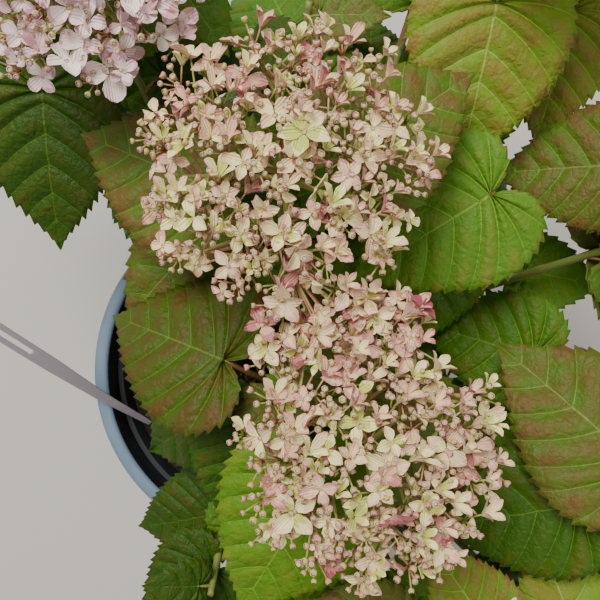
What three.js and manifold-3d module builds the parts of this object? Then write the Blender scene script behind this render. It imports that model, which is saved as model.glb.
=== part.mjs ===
// A smooth hydrangea in its nursery pot: pot, compost, blank label, canes, leafy shoots and flower heads.
// Units are millimetres and +Z is up. The origin is the centre of the pot's underside.

import * as THREE from "three";
import Module from "manifold-3d";
import { mergeVertices } from "three/addons/utils/BufferGeometryUtils.js";

const wasm = await Module();
wasm.setup();

// Sizes of the pot and what fills it.
const POT_HEIGHT = 200;
const POT_BASE_RADIUS = 92;
const POT_RIM_RADIUS = 125;
const POT_RIM_INNER = 115;
const POT_BAND_HEIGHT = 17;
const POT_WALL = 2.6;
const POT_FLOOR = 3.5;
const POT_STEP_HEIGHT = 177;
const POT_STEP_WIDTH = 4.5;
const POT_SIDES = 36;
const COMPOST_TOP = 168;
const PART_GAP = 0.3;

// The blank label leans out of the compost over the rim. Its widths are at the foot and at the free end.
const LABEL_FOOT = [-90.5, -43.4, COMPOST_TOP + PART_GAP];
const LABEL_RIM = [-113.9, -18.6, 206];
const LABEL_END = [-163, 45, 302];
const LABEL_WIDTHS = [3.6, 10];
const LABEL_THICKNESS = 1.2;
const LABEL_BEND_AT = 0.32;
const LABEL_SLOT_START = 0.72;
const LABEL_SLOT_WIDTH = 3;
const LABEL_FULL_WIDTH_AT = 0.625;

// One row for each shoot: foot x y, top x y z, turn of the top leaf pair, leaf length,
// radius of the flower head (0 for none), how early the cane leans out.
const SHOOTS = [
  { foot: [4, 30], top: [14, 104, 405], turn: 96, leaf: 104, head: 65, bow: 0.2 },
  { foot: [24, -8], top: [50, -15, 402], turn: 330, leaf: 102, head: 59, bow: 0.2 },
  { foot: [-26, 36], top: [-72, 192, 398], turn: 75, leaf: 100, head: 58, bow: 0.75 },
  { foot: [46, 20], top: [212, 88, 384], turn: 350, leaf: 104, head: 56, bow: 0.7 },
  { foot: [20, -38], top: [104, -146, 380], turn: 290, leaf: 102, head: 56, bow: 0.7 },
  { foot: [24, 50], top: [148, 240, 388], turn: 75, leaf: 104, head: 56, bow: 0.5 },
  { foot: [-8, 2], top: [8, 8, 330], turn: 344, leaf: 96, head: 0, bow: 0.1 },
  { foot: [-18, -26], top: [-30, -118, 288], turn: 245, leaf: 84, head: 0, bow: 0.4 },
  { foot: [48, -14], top: [206, -58, 334], turn: 20, leaf: 100, head: 0, bow: 0.4 },
  { foot: [40, 42], top: [120, 108, 304], turn: 60, leaf: 92, head: 0, bow: 0.3 },
  { foot: [-42, 18], top: [-142, 214, 306], turn: 135, leaf: 92, head: 0, bow: 0.4 },
  { foot: [0, 52], top: [26, 206, 318], turn: 100, leaf: 94, head: 0, bow: 0.4 },
  { foot: [0, -44], top: [22, -180, 306], turn: 250, leaf: 94, head: 0, bow: 0.4 },
  { foot: [56, 4], top: [196, 16, 296], turn: 330, leaf: 90, head: 0, bow: 0.3 },
  { foot: [38, -32], top: [156, -128, 306], turn: 320, leaf: 94, head: 0, bow: 0.4 },
  { foot: [14, 60], top: [92, 224, 306], turn: 60, leaf: 94, head: 0, bow: 0.3 },
];

// Leaves whose place shows from above: shoot, pair and side, then the blade's foot and its tip.
const SHOWN_LEAVES = [
  { at: [6, 0, 0], foot: [-13, 19, 338], tip: [-80, 42, 292], roll: 12 },
  { at: [0, 0, 0], foot: [-14, 100, 346], tip: [-86, 133, 318], roll: 0 },
  { at: [0, 0, 1], foot: [38, 112, 356], tip: [100, 156, 342], roll: 0 },
  { at: [1, 0, 0], foot: [32, -34, 346], tip: [-8, -107, 318], roll: 0 },
  { at: [5, 0, 0], foot: [118, 200, 340], tip: [107, 124, 306], roll: 0 },
  { at: [5, 1, 0], foot: [164, 206, 316], tip: [150, 144, 288], roll: 0 },
  { at: [9, 0, 0], foot: [122, 106, 326], tip: [50, 71, 300], roll: 0 },
  { at: [3, 0, 0], foot: [190, 118, 332], tip: [136, 122, 288], roll: 0 },
  { at: [8, 0, 0], foot: [190, -34, 340], tip: [134, 22, 300], roll: 0 },
  { at: [8, 1, 0], foot: [176, -64, 296], tip: [148, -138, 262], roll: 0 },
  { at: [4, 0, 0], foot: [118, -118, 332], tip: [92, -82, 312], roll: 0 },
  { at: [14, 0, 0], foot: [172, -150, 322], tip: [152, -80, 300], roll: 0 },
  { at: [12, 0, 0], foot: [36, -160, 316], tip: [48, -92, 290], roll: 0 },
  { at: [2, 1, 0], foot: [-114, 164, 318], tip: [-118, 86, 282], roll: 0 },
  { at: [7, 1, 0], foot: [-30, -86, 242], tip: [-86, -104, 216], roll: 0 },
  { at: [7, 0, 0], foot: [-27, -110, 268], tip: [-74, -156, 246], roll: 0 },
];

// Leaves that have dropped, so that the pot's rim and the ground show past them.
const DROPPED = [[3, 0, 1], [3, 2, 1], [10, 1, 0], [10, 2, 0], [10, 2, 1], [13, 0, 0]];

// Shoots: where the pairs sit on the stem from the top one down, and how their leaves differ.
const PAIR_AT = [0.86, 0.66, 0.47];
const PAIR_SIZE = [0.86, 1.0, 1.04];
const PETIOLE_LENGTHS = [20, 32, 42];
const PAIR_DROOP = [18, 25, 30];
const CANE_SHARE = 0.36;
const CANE_RADII = [3.4, 2.7];
const CANE_FOOT_RISE = 3;
const STEM_RADII = [2.6, 1.9];
const PETIOLE_RADIUS = 1.5;
const HEAD_DEPTH = 44;
const HEAD_LEAN = 0.06;

// The blade's half outline, as shares of its length from the stalk's end to the tip.
const BLADE_OUTLINE = [
  [0.03, 0], [-0.06, 0.04], [-0.14, 0.14], [-0.13, 0.27], [-0.02, 0.39], [0.15, 0.445],
  [0.33, 0.425], [0.51, 0.345], [0.67, 0.24], [0.81, 0.125], [0.91, 0.045], [1, 0],
];
const BLADE_THICKNESS = 0.016;
const SHOWN_STRETCH = 1.08;

// A leaf that would touch something is turned, tilted or made smaller before it is skipped.
const SWINGS = [0, 15, -15, 30, -30, 45, -45, 60, -60, 75, -75];
const TILTS = [0, 13, -13, 26, -26];
const SHRINKS = [1, 0.88, 0.76];
const LEAF_CLEARANCE = 8;
const STEM_CLEARANCE = 7.5;
const PETIOLE_CLEARANCE = 6;
const LABEL_CLEARANCE = 14;
const BLADE_ROWS = 15;
const BLADE_COLUMNS = [-1, -0.75, -0.5, -0.25, 0, 0.25, 0.5, 0.75, 1];

// Flower heads: florets on a spiral over a low dome, carried by rays from a hub.
const FLORET_COUNT = 70;
const FLORET_STEP = 3;
const FLORET_RADIUS = 9.5;
const FLORET_THICKNESS = 1.6;
const RAY_COUNT = 8;
const RAY_RADIUS = 1.3;
const PEDICEL_RADIUS = 0.7;
const PEDUNCLE_RADIUS = 1.8;
const DOME_DROP = 17;
const HUB_DROP = 32;

const COLOURS = {
  pot: 0x8296a8,
  compost: 0x2a211b,
  label: 0xe6e4ec,
  cane: 0x8a7448,
  leaf: 0x5d7a24,
  flower: 0xe6cdbe,
};

// Plain arithmetic on [x, y, z] arrays.
const add = (a, b) => [a[0] + b[0], a[1] + b[1], a[2] + b[2]];
const subtract = (a, b) => [a[0] - b[0], a[1] - b[1], a[2] - b[2]];
const scale = (a, k) => [a[0] * k, a[1] * k, a[2] * k];
const between = (a, b, t) => add(scale(a, 1 - t), scale(b, t));
const unit = (a) => scale(a, 1 / Math.hypot(...a));
const radians = (degrees) => (degrees * Math.PI) / 180;

function cross(a, b) {
  return [a[1] * b[2] - a[2] * b[1], a[2] * b[0] - a[0] * b[2], a[0] * b[1] - a[1] * b[0]];
}

// The same short random series comes back for the same seed.
class Series {
  constructor(seed) {
    this.state = seed;
    for (let i = 0; i < 3; i += 1) this.next();
  }

  next() {
    this.state = (this.state * 1664525 + 1013904223) % 4294967296;
    return this.state / 4294967296;
  }

  spread(reach) {
    return (this.next() * 2 - 1) * reach;
  }
}

// Solids come from a triangle list; points closer than a thousandth of a millimetre are one.
function toSolid(geometry) {
  geometry.deleteAttribute("normal");
  geometry.deleteAttribute("uv");
  const merged = mergeVertices(geometry, 1e-3);
  const mesh = new wasm.Mesh({
    numProp: 3,
    vertProperties: new Float32Array(merged.attributes.position.array),
    triVerts: new Uint32Array(merged.index.array),
  });
  return new wasm.Manifold(mesh);
}

function solidFromLists(points, triangles) {
  const geometry = new THREE.BufferGeometry();
  geometry.setAttribute("position", new THREE.Float32BufferAttribute(points.flat(), 3));
  geometry.setIndex(triangles.flat());
  return toSolid(geometry);
}

function joinSolids(solids) {
  let joined = solids[0];
  for (const solid of solids.slice(1)) joined = joined.add(solid);
  return joined;
}

// Fusing can leave a loose scrap or seal a hollow; only the main outer body is kept.
function largestPiece(solid) {
  const pieces = solid.decompose();
  return pieces.reduce((best, piece) => (piece.volume() > best.volume() ? piece : best));
}

function toMesh(name, solid, colour, roughness) {
  const { vertProperties, triVerts } = solid.getMesh();
  const geometry = new THREE.BufferGeometry();
  geometry.setAttribute("position", new THREE.Float32BufferAttribute(vertProperties, 3));
  geometry.setIndex(new THREE.BufferAttribute(new Uint32Array(triVerts), 1));
  geometry.computeVertexNormals();
  const material = new THREE.MeshStandardMaterial({ color: colour, roughness, metalness: 0 });
  const mesh = new THREE.Mesh(geometry, material);
  mesh.name = name;
  return mesh;
}

// A tapering tube along a list of points: a cylinder with one ring of its wall moved to each point.
// An end radius of 0 makes it a spike.
function taperedTube(path, radii, sides) {
  const steps = path.length - 1;
  const geometry = new THREE.CylinderGeometry(radii[1] ? 1 : 0, 1, 1, sides, steps);
  const places = [];
  let side = null;
  path.forEach((point, ring) => {
    const ahead = unit(subtract(path[Math.min(ring + 1, steps)], path[Math.max(ring - 1, 0)]));
    const guide = side ?? (Math.abs(ahead[2]) < 0.9 ? [0, 0, 1] : [1, 0, 0]);
    const up = unit(cross(guide, ahead));
    side = cross(ahead, up);
    const radius = radii[0] + ((radii[1] - radii[0]) * ring) / steps;
    places.push({ point, side: scale(side, radius), up: scale(up, radius) });
  });
  const position = geometry.attributes.position;
  for (let i = 0; i < position.count; i += 1) {
    const place = places[Math.round((position.getY(i) + 0.5) * steps)];
    const offset = add(scale(place.side, position.getX(i)), scale(place.up, position.getZ(i)));
    position.setXYZ(i, ...add(place.point, offset));
  }
  return toSolid(geometry);
}

// Pot and compost are turned about the upright axis.
function turned(profile) {
  const outline = profile.map(([radius, height]) => new THREE.Vector2(radius, height));
  const geometry = new THREE.LatheGeometry(outline, POT_SIDES);
  geometry.rotateX(Math.PI / 2);
  return toSolid(geometry);
}

function wallRadius(height) {
  const slope = (POT_RIM_INNER - 1 - POT_STEP_WIDTH - POT_BASE_RADIUS + POT_WALL) / POT_STEP_HEIGHT;
  return POT_BASE_RADIUS - POT_WALL + slope * height;
}

function makePot() {
  const bandFoot = POT_HEIGHT - POT_BAND_HEIGHT;
  const outerTop = POT_RIM_INNER + POT_WALL;
  return turned([
    [0, 0],
    [POT_BASE_RADIUS - 3, 0],
    [POT_BASE_RADIUS, 3],
    [wallRadius(POT_STEP_HEIGHT - 8) + POT_WALL, POT_STEP_HEIGHT - 8],
    [outerTop - 0.5, POT_STEP_HEIGHT],
    [outerTop, bandFoot],
    [POT_RIM_RADIUS - 1.2, bandFoot],
    [POT_RIM_RADIUS, bandFoot + 1.5],
    [POT_RIM_RADIUS, POT_HEIGHT - 3],
    [POT_RIM_RADIUS - 2, POT_HEIGHT],
    [POT_RIM_INNER + 1.5, POT_HEIGHT],
    [POT_RIM_INNER, POT_HEIGHT - 2],
    [POT_RIM_INNER - 0.6, POT_STEP_HEIGHT + 2],
    [POT_RIM_INNER - 1.2, POT_STEP_HEIGHT],
    [wallRadius(POT_STEP_HEIGHT), POT_STEP_HEIGHT - 1],
    [wallRadius(POT_FLOOR), POT_FLOOR],
    [0, POT_FLOOR],
  ]);
}

function makeCompost() {
  const foot = POT_FLOOR + PART_GAP;
  return turned([
    [0, foot],
    [wallRadius(foot) - 0.8, foot],
    [wallRadius(COMPOST_TOP - 2) - 0.8, COMPOST_TOP - 2],
    [wallRadius(COMPOST_TOP - 2) - 4, COMPOST_TOP],
    [0, COMPOST_TOP],
  ]);
}

function labelPoint(t) {
  if (t < LABEL_BEND_AT) return between(LABEL_FOOT, LABEL_RIM, t / LABEL_BEND_AT);
  return between(LABEL_RIM, LABEL_END, (t - LABEL_BEND_AT) / (1 - LABEL_BEND_AT));
}

// A flat strip along the label's bent line, between two levels and as wide as told at each station.
function labelStrip(stations, width, levels) {
  const along = unit(subtract(LABEL_END, LABEL_RIM));
  const across = unit([-along[1], along[0], 0]);
  const up = cross(along, across);
  const steps = stations.length - 1;
  const geometry = new THREE.BoxGeometry(steps, 1, 1, steps, 1, 1);
  const position = geometry.attributes.position;
  for (let i = 0; i < position.count; i += 1) {
    const t = stations[Math.round(position.getX(i) + steps / 2)];
    const level = position.getZ(i) < 0 ? levels[0] : levels[1];
    const offset = add(scale(across, position.getY(i) * width(t)), scale(up, level));
    position.setXYZ(i, ...add(labelPoint(t), offset));
  }
  return toSolid(geometry);
}

// The label widens outwards, bends at the rim and is split at its free end.
function makeLabel() {
  const [narrow, wide] = LABEL_WIDTHS;
  const width = (t) => narrow + (wide - narrow) * Math.min(1, t / LABEL_FULL_WIDTH_AT);
  const strip = labelStrip([0, LABEL_BEND_AT, LABEL_FULL_WIDTH_AT, 1], width, [0, LABEL_THICKNESS]);
  const slotWidth = (t) => (t > 1 ? LABEL_SLOT_WIDTH : LABEL_SLOT_WIDTH / 2);
  return strip.subtract(labelStrip([LABEL_SLOT_START, 1.02], slotWidth, [-1, LABEL_THICKNESS + 1]));
}

// The line of a cane and the stem that carries on from it, t running from the foot to the top.
function shootPoint(shoot, t) {
  const { foot, top, head, bow } = shoot;
  const lean = head ? HEAD_LEAN : 0;
  const start = [foot[0], foot[1], COMPOST_TOP + PART_GAP];
  const end = [
    top[0] - lean * (top[0] - foot[0]),
    top[1] - lean * (top[1] - foot[1]),
    head ? top[2] - HEAD_DEPTH : top[2],
  ];
  const middle = [
    start[0] + bow * (end[0] - start[0]),
    start[1] + bow * (end[1] - start[1]),
    start[2] + (0.5 - 0.15 * bow) * (end[2] - start[2]),
  ];
  const weights = [(1 - t) ** 2, 2 * t * (1 - t), t * t];
  return add(add(scale(start, weights[0]), scale(middle, weights[1])), scale(end, weights[2]));
}

function shootLine(shoot, from, to, steps) {
  return Array.from({ length: steps + 1 }, (_, i) => shootPoint(shoot, from + ((to - from) * i) / steps));
}

const sameLeaf = (a, b) => a.every((value, i) => value === b[i]);
const shownLeaf = (...job) => SHOWN_LEAVES.find(({ at }) => sameLeaf(at, job));
const isDropped = (...job) => DROPPED.some((at) => sameLeaf(at, job));

// Where a leaf sits: its stalk's root, the blade's foot, and the blade's own three directions.
function leafFrame(shootIndex, pair, side, swing, tilt, shrink) {
  const shoot = SHOOTS[shootIndex];
  const series = new Series(1000 * (shootIndex + 1) + 10 * pair + side);
  let turn = radians(shoot.turn + 90 * pair + 180 * side + series.spread(16) + swing);
  let droop = radians(PAIR_DROOP[pair] + series.spread(9) + tilt);
  let roll = radians(series.spread(12));
  let length = shoot.leaf * PAIR_SIZE[pair] * (1 + series.spread(0.08)) * shrink;
  const rise = radians(38 + series.spread(8));
  const stalk = PETIOLE_LENGTHS[pair] * (1 + series.spread(0.15));
  const bend = 0.13 + series.spread(0.05);
  const root = shootPoint(shoot, PAIR_AT[pair]);
  const reach = [Math.cos(rise) * Math.cos(turn), Math.cos(rise) * Math.sin(turn), Math.sin(rise)];
  let foot = add(root, scale(reach, stalk));
  const shown = shownLeaf(shootIndex, pair, side);
  if (shown) {
    const run = subtract(shown.tip, shown.foot);
    const flat = Math.hypot(run[0], run[1]);
    foot = shown.foot;
    length = Math.hypot(flat, run[2]) * SHOWN_STRETCH;
    turn = Math.atan2(run[1], run[0]) + radians(swing) * 0.4;
    droop = Math.atan2(-run[2], flat) - 0.13 + radians(tilt) * 0.6;
    roll = radians(shown.roll);
  }
  const along = [Math.cos(turn) * Math.cos(droop), Math.sin(turn) * Math.cos(droop), -Math.sin(droop)];
  const flatUp = [Math.cos(turn) * Math.sin(droop), Math.sin(turn) * Math.sin(droop), Math.cos(droop)];
  const flatAcross = [-Math.sin(turn), Math.cos(turn), 0];
  const across = add(scale(flatAcross, Math.cos(roll)), scale(flatUp, Math.sin(roll)));
  const up = subtract(scale(flatUp, Math.cos(roll)), scale(flatAcross, Math.sin(roll)));
  return { root, foot, along, across, up, length, bend };
}

// A point of the blade, x along the midrib and y across it, both as shares of the length.
function bladePoint(frame, x, y, lift = 0) {
  const rise = -frame.bend * x * Math.abs(x) + 0.1 * Math.abs(y) - 0.28 * y * y + lift;
  const flat = add(scale(frame.along, x), scale(frame.across, y));
  return add(frame.foot, scale(add(flat, scale(frame.up, rise)), frame.length));
}

function halfWidth(x) {
  let widest = 0;
  for (let i = 1; i < BLADE_OUTLINE.length; i += 1) {
    const [x0, y0] = BLADE_OUTLINE[i - 1];
    const [x1, y1] = BLADE_OUTLINE[i];
    const inside = (x0 - x) * (x1 - x) <= 0 && x0 !== x1;
    if (inside) widest = Math.max(widest, y0 + ((y1 - y0) * (x - x0)) / (x1 - x0));
  }
  return widest;
}

function bladeSamples(frame) {
  const samples = [];
  for (let row = 0; row < BLADE_ROWS; row += 1) {
    const x = -0.12 + (1.1 * row) / (BLADE_ROWS - 1);
    const width = halfWidth(x);
    for (const column of BLADE_COLUMNS) samples.push(bladePoint(frame, x, column * width));
  }
  return samples;
}

function closerThan(limit, some, others) {
  const square = limit * limit;
  for (const a of some) {
    for (const b of others) {
      const dx = a[0] - b[0];
      const dy = a[1] - b[1];
      const dz = a[2] - b[2];
      if (dx * dx + dy * dy + dz * dz < square) return true;
    }
  }
  return false;
}

function meetsPot(samples) {
  return samples.some(([x, y, z]) => {
    const radius = Math.hypot(x, y);
    const nearRim = Math.abs(radius - 118) < 12 && z < POT_HEIGHT + 5;
    return nearRim || z < COMPOST_TOP - 10 || (radius < 122 && z < COMPOST_TOP + 8);
  });
}

// A head keeps an upturned cone below it free, as wide as the head at its rim.
function meetsHead(samples) {
  return SHOOTS.some(({ head, top }) => head > 0 && samples.some(([x, y, z]) => {
    const share = Math.min(1, Math.max(0, (z - top[2] + HEAD_DEPTH + 2) / 20));
    return z < top[2] + 20 && Math.hypot(x - top[0], y - top[1]) < (head + 6) * share;
  }));
}

function leafFits(leaf, placed, lines, labelLine) {
  const { samples, stalk, frame, shoot } = leaf;
  if (meetsPot(samples) || meetsHead(samples)) return false;
  if (closerThan(LABEL_CLEARANCE, samples, labelLine)) return false;
  const away = samples.slice(3 * BLADE_COLUMNS.length);
  for (let i = 0; i < lines.length; i += 1) {
    if (closerThan(STEM_CLEARANCE, i === shoot ? away : samples, lines[i])) return false;
    if (i !== shoot && closerThan(PETIOLE_CLEARANCE, stalk, lines[i])) return false;
  }
  return placed.every((other) => {
    const apart = Math.hypot(...subtract(other.frame.foot, frame.foot));
    if (apart > other.frame.length + frame.length + 20) return true;
    return !closerThan(LEAF_CLEARANCE, samples, other.samples)
      && !closerThan(PETIOLE_CLEARANCE, samples, other.stalk)
      && !closerThan(PETIOLE_CLEARANCE, stalk, other.samples);
  });
}

function placeLeaf(job, placed, lines, labelLine) {
  for (const shrink of SHRINKS) {
    for (const tilt of TILTS) {
      for (const swing of SWINGS) {
        const frame = leafFrame(...job, swing, tilt, shrink);
        const stalk = Array.from({ length: 9 }, (_, i) => between(frame.root, frame.foot, i / 8));
        const leaf = { shoot: job[0], frame, stalk, samples: bladeSamples(frame) };
        if (leafFits(leaf, placed, lines, labelLine)) return leaf;
      }
    }
  }
  return null;
}

// Leaves that show are placed first, then the others from the top pairs down.
function placeLeaves() {
  const lines = SHOOTS.map((shoot) => shootLine(shoot, 0, 1, 39));
  const labelLine = Array.from({ length: 21 }, (_, i) => between(LABEL_RIM, LABEL_END, i / 20));
  const jobs = SHOWN_LEAVES.map(({ at }) => at);
  for (let pair = 0; pair < PAIR_AT.length; pair += 1) {
    for (let shoot = 0; shoot < SHOOTS.length; shoot += 1) {
      for (const side of [0, 1]) {
        const job = [shoot, pair, side];
        if (!shownLeaf(...job) && !isDropped(...job)) jobs.push(job);
      }
    }
  }
  const placed = [];
  for (const job of jobs) {
    const leaf = placeLeaf(job, placed, lines, labelLine);
    if (leaf) placed.push(leaf);
  }
  return placed;
}

// A thin blade with a keel along its midrib; its two faces meet in a sharp margin.
function makeBlade(frame) {
  const margin = BLADE_OUTLINE.slice(1, -1);
  const lobe = 4;
  const points = [bladePoint(frame, BLADE_OUTLINE[0][0], 0), bladePoint(frame, 1, 0)];
  const addPoint = (x, y, lift) => points.push(bladePoint(frame, x, y, lift)) - 1;
  const rims = [1, -1].map((side) => margin.map(([x, y]) => addPoint(x, side * y, 0)));
  const keel = margin.slice(lobe);
  const spines = [0.5, -0.5].map((level) => keel.map(([x]) => addPoint(x, 0, level * BLADE_THICKNESS)));
  const triangles = [];
  rims.forEach((rim, side) => spines.forEach((spine, face) => {
    const half = [[0, rim[lobe], spine[0]], [spine.at(-1), rim.at(-1), 1]];
    for (let i = 1; i <= lobe; i += 1) half.push([0, rim[i - 1], rim[i]]);
    for (let i = 1; i < spine.length; i += 1) {
      half.push([spine[i - 1], rim[i + lobe - 1], rim[i + lobe]], [spine[i - 1], rim[i + lobe], spine[i]]);
    }
    const turnedOver = (side + face) % 2 === 0;
    for (const [a, b, c] of half) triangles.push(turnedOver ? [a, c, b] : [a, b, c]);
  }));
  return solidFromLists(points, triangles);
}

// The stalk leaves its stem, arches up and runs a little way into the blade's keel.
function makePetiole(frame) {
  const { root, foot } = frame;
  const bow = add(between(root, foot, 0.55), [0, 0, 0.1 * Math.hypot(...subtract(foot, root))]);
  return taperedTube([root, bow, bladePoint(frame, 0.14, 0)], [PETIOLE_RADIUS, 1.1], 3);
}

// A cane comes straight up out of the compost, so that its foot is level, and then leans.
function makeCane(shoot) {
  const foot = shootPoint(shoot, 0);
  const line = shootLine(shoot, 0.07, CANE_SHARE, 3);
  return taperedTube([foot, add(foot, [0, 0, CANE_FOOT_RISE]), ...line], CANE_RADII, 6);
}

// The share of the shoot's line that makes the gap above a part that ends at t.
function gapShare(shoot, t) {
  const step = 0.01;
  const run = Math.hypot(...subtract(shootPoint(shoot, t + step), shootPoint(shoot, t)));
  return ((PART_GAP + 0.15) * step) / run;
}

function makeLeaves(shoot, leaves) {
  const from = CANE_SHARE + gapShare(shoot, CANE_SHARE);
  const solids = [taperedTube(shootLine(shoot, from, 1, 7), STEM_RADII, 4)];
  for (const { frame } of leaves) {
    solids.push(makePetiole(frame), makeBlade(frame));
  }
  return largestPiece(joinSolids(solids));
}

// A floret is a thin plate with a corner for each of its pointed sepals.
function makeFloret({ centre, normal, spin, radius, sepals }) {
  const side = unit(cross(normal, Math.abs(normal[0]) < 0.8 ? [1, 0, 0] : [0, 1, 0]));
  const up = cross(normal, side);
  const middles = [0.5, -0.5].map((level) => add(centre, scale(normal, level * FLORET_THICKNESS)));
  const corners = Array.from({ length: sepals }, (_, i) => {
    const angle = spin + (2 * Math.PI * i) / sepals;
    const flat = add(scale(side, Math.cos(angle)), scale(up, Math.sin(angle)));
    return add(centre, scale(flat, radius));
  });
  const triangles = [];
  for (let i = 0; i < sepals; i += 1) {
    const here = 2 + i;
    const next = 2 + ((i + 1) % sepals);
    triangles.push([0, here, next], [1, next, here]);
  }
  return solidFromLists([...middles, ...corners], triangles);
}

// The places of a head's florets: a spiral seen from above, dropping to the rim of a low dome.
function floretPlaces(shoot, index) {
  const series = new Series(7000 + 100 * index);
  const reach = shoot.head - FLORET_RADIUS * 0.6;
  return Array.from({ length: FLORET_COUNT }, (_, k) => {
    const share = Math.sqrt((k + 0.5) / FLORET_COUNT);
    const turn = radians(137.508 * k + series.spread(9));
    const drop = DOME_DROP * share * share + series.spread(3);
    const lean = radians(28 * share + series.spread(8));
    const radius = FLORET_RADIUS * (1 + series.spread(0.16)) * (k % FLORET_STEP ? 0.86 : 1.06);
    const spin = series.next() * Math.PI;
    const sepals = series.next() < 0.16 ? 3 : 4;
    const centre = [
      shoot.top[0] + reach * share * Math.cos(turn),
      shoot.top[1] + reach * share * Math.sin(turn),
      shoot.top[2] - drop,
    ];
    const normal = [Math.sin(lean) * Math.cos(turn), Math.sin(lean) * Math.sin(turn), Math.cos(lean)];
    return { centre, normal, spin, radius, sepals, share, turn };
  });
}

// Rays leave the hub like the ribs of an umbrella, with one straight up in the middle.
function headRays(shoot, index) {
  const series = new Series(9000 + 100 * index);
  const [x, y, z] = shoot.top;
  const hub = between(shootPoint(shoot, 1), [x, y, z - HUB_DROP], 0.9);
  const rays = [{ turn: 0, line: [hub, [x, y, z - 8]] }];
  const first = series.next() * Math.PI;
  for (let i = 0; i < RAY_COUNT; i += 1) {
    const turn = first + (2 * Math.PI * i) / RAY_COUNT + radians(series.spread(8));
    const point = (share, drop) => [
      x + shoot.head * share * Math.cos(turn), y + shoot.head * share * Math.sin(turn), z - drop,
    ];
    rays.push({ turn, line: [hub, point(0.3, HUB_DROP - 7), point(0.66, DOME_DROP - 2)] });
  }
  return { hub, rays };
}

function linePoint(line, t) {
  const steps = line.length - 1;
  const index = Math.min(steps - 1, Math.floor(t * steps));
  return between(line[index], line[index + 1], t * steps - index);
}

// Each floret's stalk leaves the ray that points its way.
function pedicelRoot(floret, rays) {
  if (floret.share < 0.3) return linePoint(rays[0].line, 0.45 + floret.share);
  const away = (ray) => Math.abs(Math.atan2(Math.sin(ray.turn - floret.turn), Math.cos(ray.turn - floret.turn)));
  const nearest = rays.slice(1).reduce((best, ray) => (away(ray) < away(best) ? ray : best));
  return linePoint(nearest.line, Math.min(0.96, 0.2 + 0.9 * floret.share));
}

function makeHead(shoot, index) {
  const { hub, rays } = headRays(shoot, index);
  const end = shootPoint(shoot, 1);
  const start = between(end, hub, (PART_GAP + 0.15) / Math.hypot(...subtract(hub, end)));
  const solids = [taperedTube([start, hub], [PEDUNCLE_RADIUS, PEDUNCLE_RADIUS * 0.9], 6)];
  for (const { line } of rays) solids.push(taperedTube(line, [RAY_RADIUS * 1.2, RAY_RADIUS * 0.8], 3));
  floretPlaces(shoot, index).forEach((floret, k) => {
    if (k % FLORET_STEP) return;
    solids.push(taperedTube([pedicelRoot(floret, rays), floret.centre], [PEDICEL_RADIUS, 0], 3));
    solids.push(makeFloret(floret));
  });
  return largestPiece(joinSolids(solids));
}

const shrub = new THREE.Group();
shrub.name = "potted_hydrangea";
shrub.add(toMesh("pot", makePot(), COLOURS.pot, 0.45));
shrub.add(toMesh("compost", makeCompost(), COLOURS.compost, 0.95));
shrub.add(toMesh("label", makeLabel(), COLOURS.label, 0.4));
const placedLeaves = placeLeaves();
SHOOTS.forEach((shoot, index) => {
  const number = index + 1;
  const leaves = placedLeaves.filter((leaf) => leaf.shoot === index);
  shrub.add(toMesh(`cane_${number}`, makeCane(shoot), COLOURS.cane, 0.7));
  shrub.add(toMesh(`leaves_${number}`, makeLeaves(shoot, leaves), COLOURS.leaf, 0.55));
  if (shoot.head) shrub.add(toMesh(`flower_head_${number}`, makeHead(shoot, index), COLOURS.flower, 0.6));
});

export default shrub;
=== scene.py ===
# A smooth hydrangea in its nursery pot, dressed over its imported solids.
# Sizes are millimetres and turn into metres where a mesh is made. The growth rule is the solids' own.

import math
from collections import namedtuple
from itertools import combinations, product

import bpy
import numpy as np
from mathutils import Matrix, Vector


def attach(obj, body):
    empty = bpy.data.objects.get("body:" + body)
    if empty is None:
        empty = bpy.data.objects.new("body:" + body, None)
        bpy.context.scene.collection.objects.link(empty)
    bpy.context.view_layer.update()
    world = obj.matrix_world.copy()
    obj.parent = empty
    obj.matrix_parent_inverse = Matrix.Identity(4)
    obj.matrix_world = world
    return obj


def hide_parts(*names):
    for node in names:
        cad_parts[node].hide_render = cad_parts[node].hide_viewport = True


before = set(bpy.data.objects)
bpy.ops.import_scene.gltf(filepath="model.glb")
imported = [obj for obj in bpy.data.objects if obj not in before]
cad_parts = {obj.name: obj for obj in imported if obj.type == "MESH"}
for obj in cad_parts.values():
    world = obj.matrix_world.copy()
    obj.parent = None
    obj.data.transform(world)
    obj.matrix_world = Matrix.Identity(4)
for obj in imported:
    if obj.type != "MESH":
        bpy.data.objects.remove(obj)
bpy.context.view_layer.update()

METRES = 0.001

# The pot and its compost.
POT_HEIGHT = 200
POT_BASE_RADIUS = 92
POT_RIM_RADIUS = 125
POT_RIM_INNER = 115
POT_BAND_HEIGHT = 17
POT_WALL = 2.6
POT_FLOOR = 3.5
POT_STEP_HEIGHT = 177
POT_STEP_WIDTH = 4.5
COMPOST_TOP = 168
COMPOST_CLEARANCE = 0.8
PART_GAP = 0.3
CRUMB_COUNT = 1100

# The compost's lumps: how fast each kind follows on the next, and its depth.
COMPOST_LUMPS = [(0.25, 0.9), (0.6, 0.6), (1.4, 0.4)]

# The blank label leans on the rim and is parted at its free end. Shares are of its length.
LABEL_FOOT = [-90.5, -43.4, COMPOST_TOP + PART_GAP]
LABEL_RIM = [-113.9, -18.6, 206]
LABEL_END = [-163, 45, 302]
LABEL_WIDTHS = [3.6, 10]
LABEL_THICKNESS = 1.2
LABEL_BEND_AT = 0.32
LABEL_SLOT_START = 0.72
LABEL_FULL_WIDTH_AT = 0.625
LABEL_ROUNDING_START = 0.97
LABEL_STEPS = 60
LABEL_LANES = 6

# Foot x y, top x y z, turn of the top leaf pair, leaf length, head radius (0 for none), lean-out.
Shoot = namedtuple("Shoot", "foot top turn leaf head bow")

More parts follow.
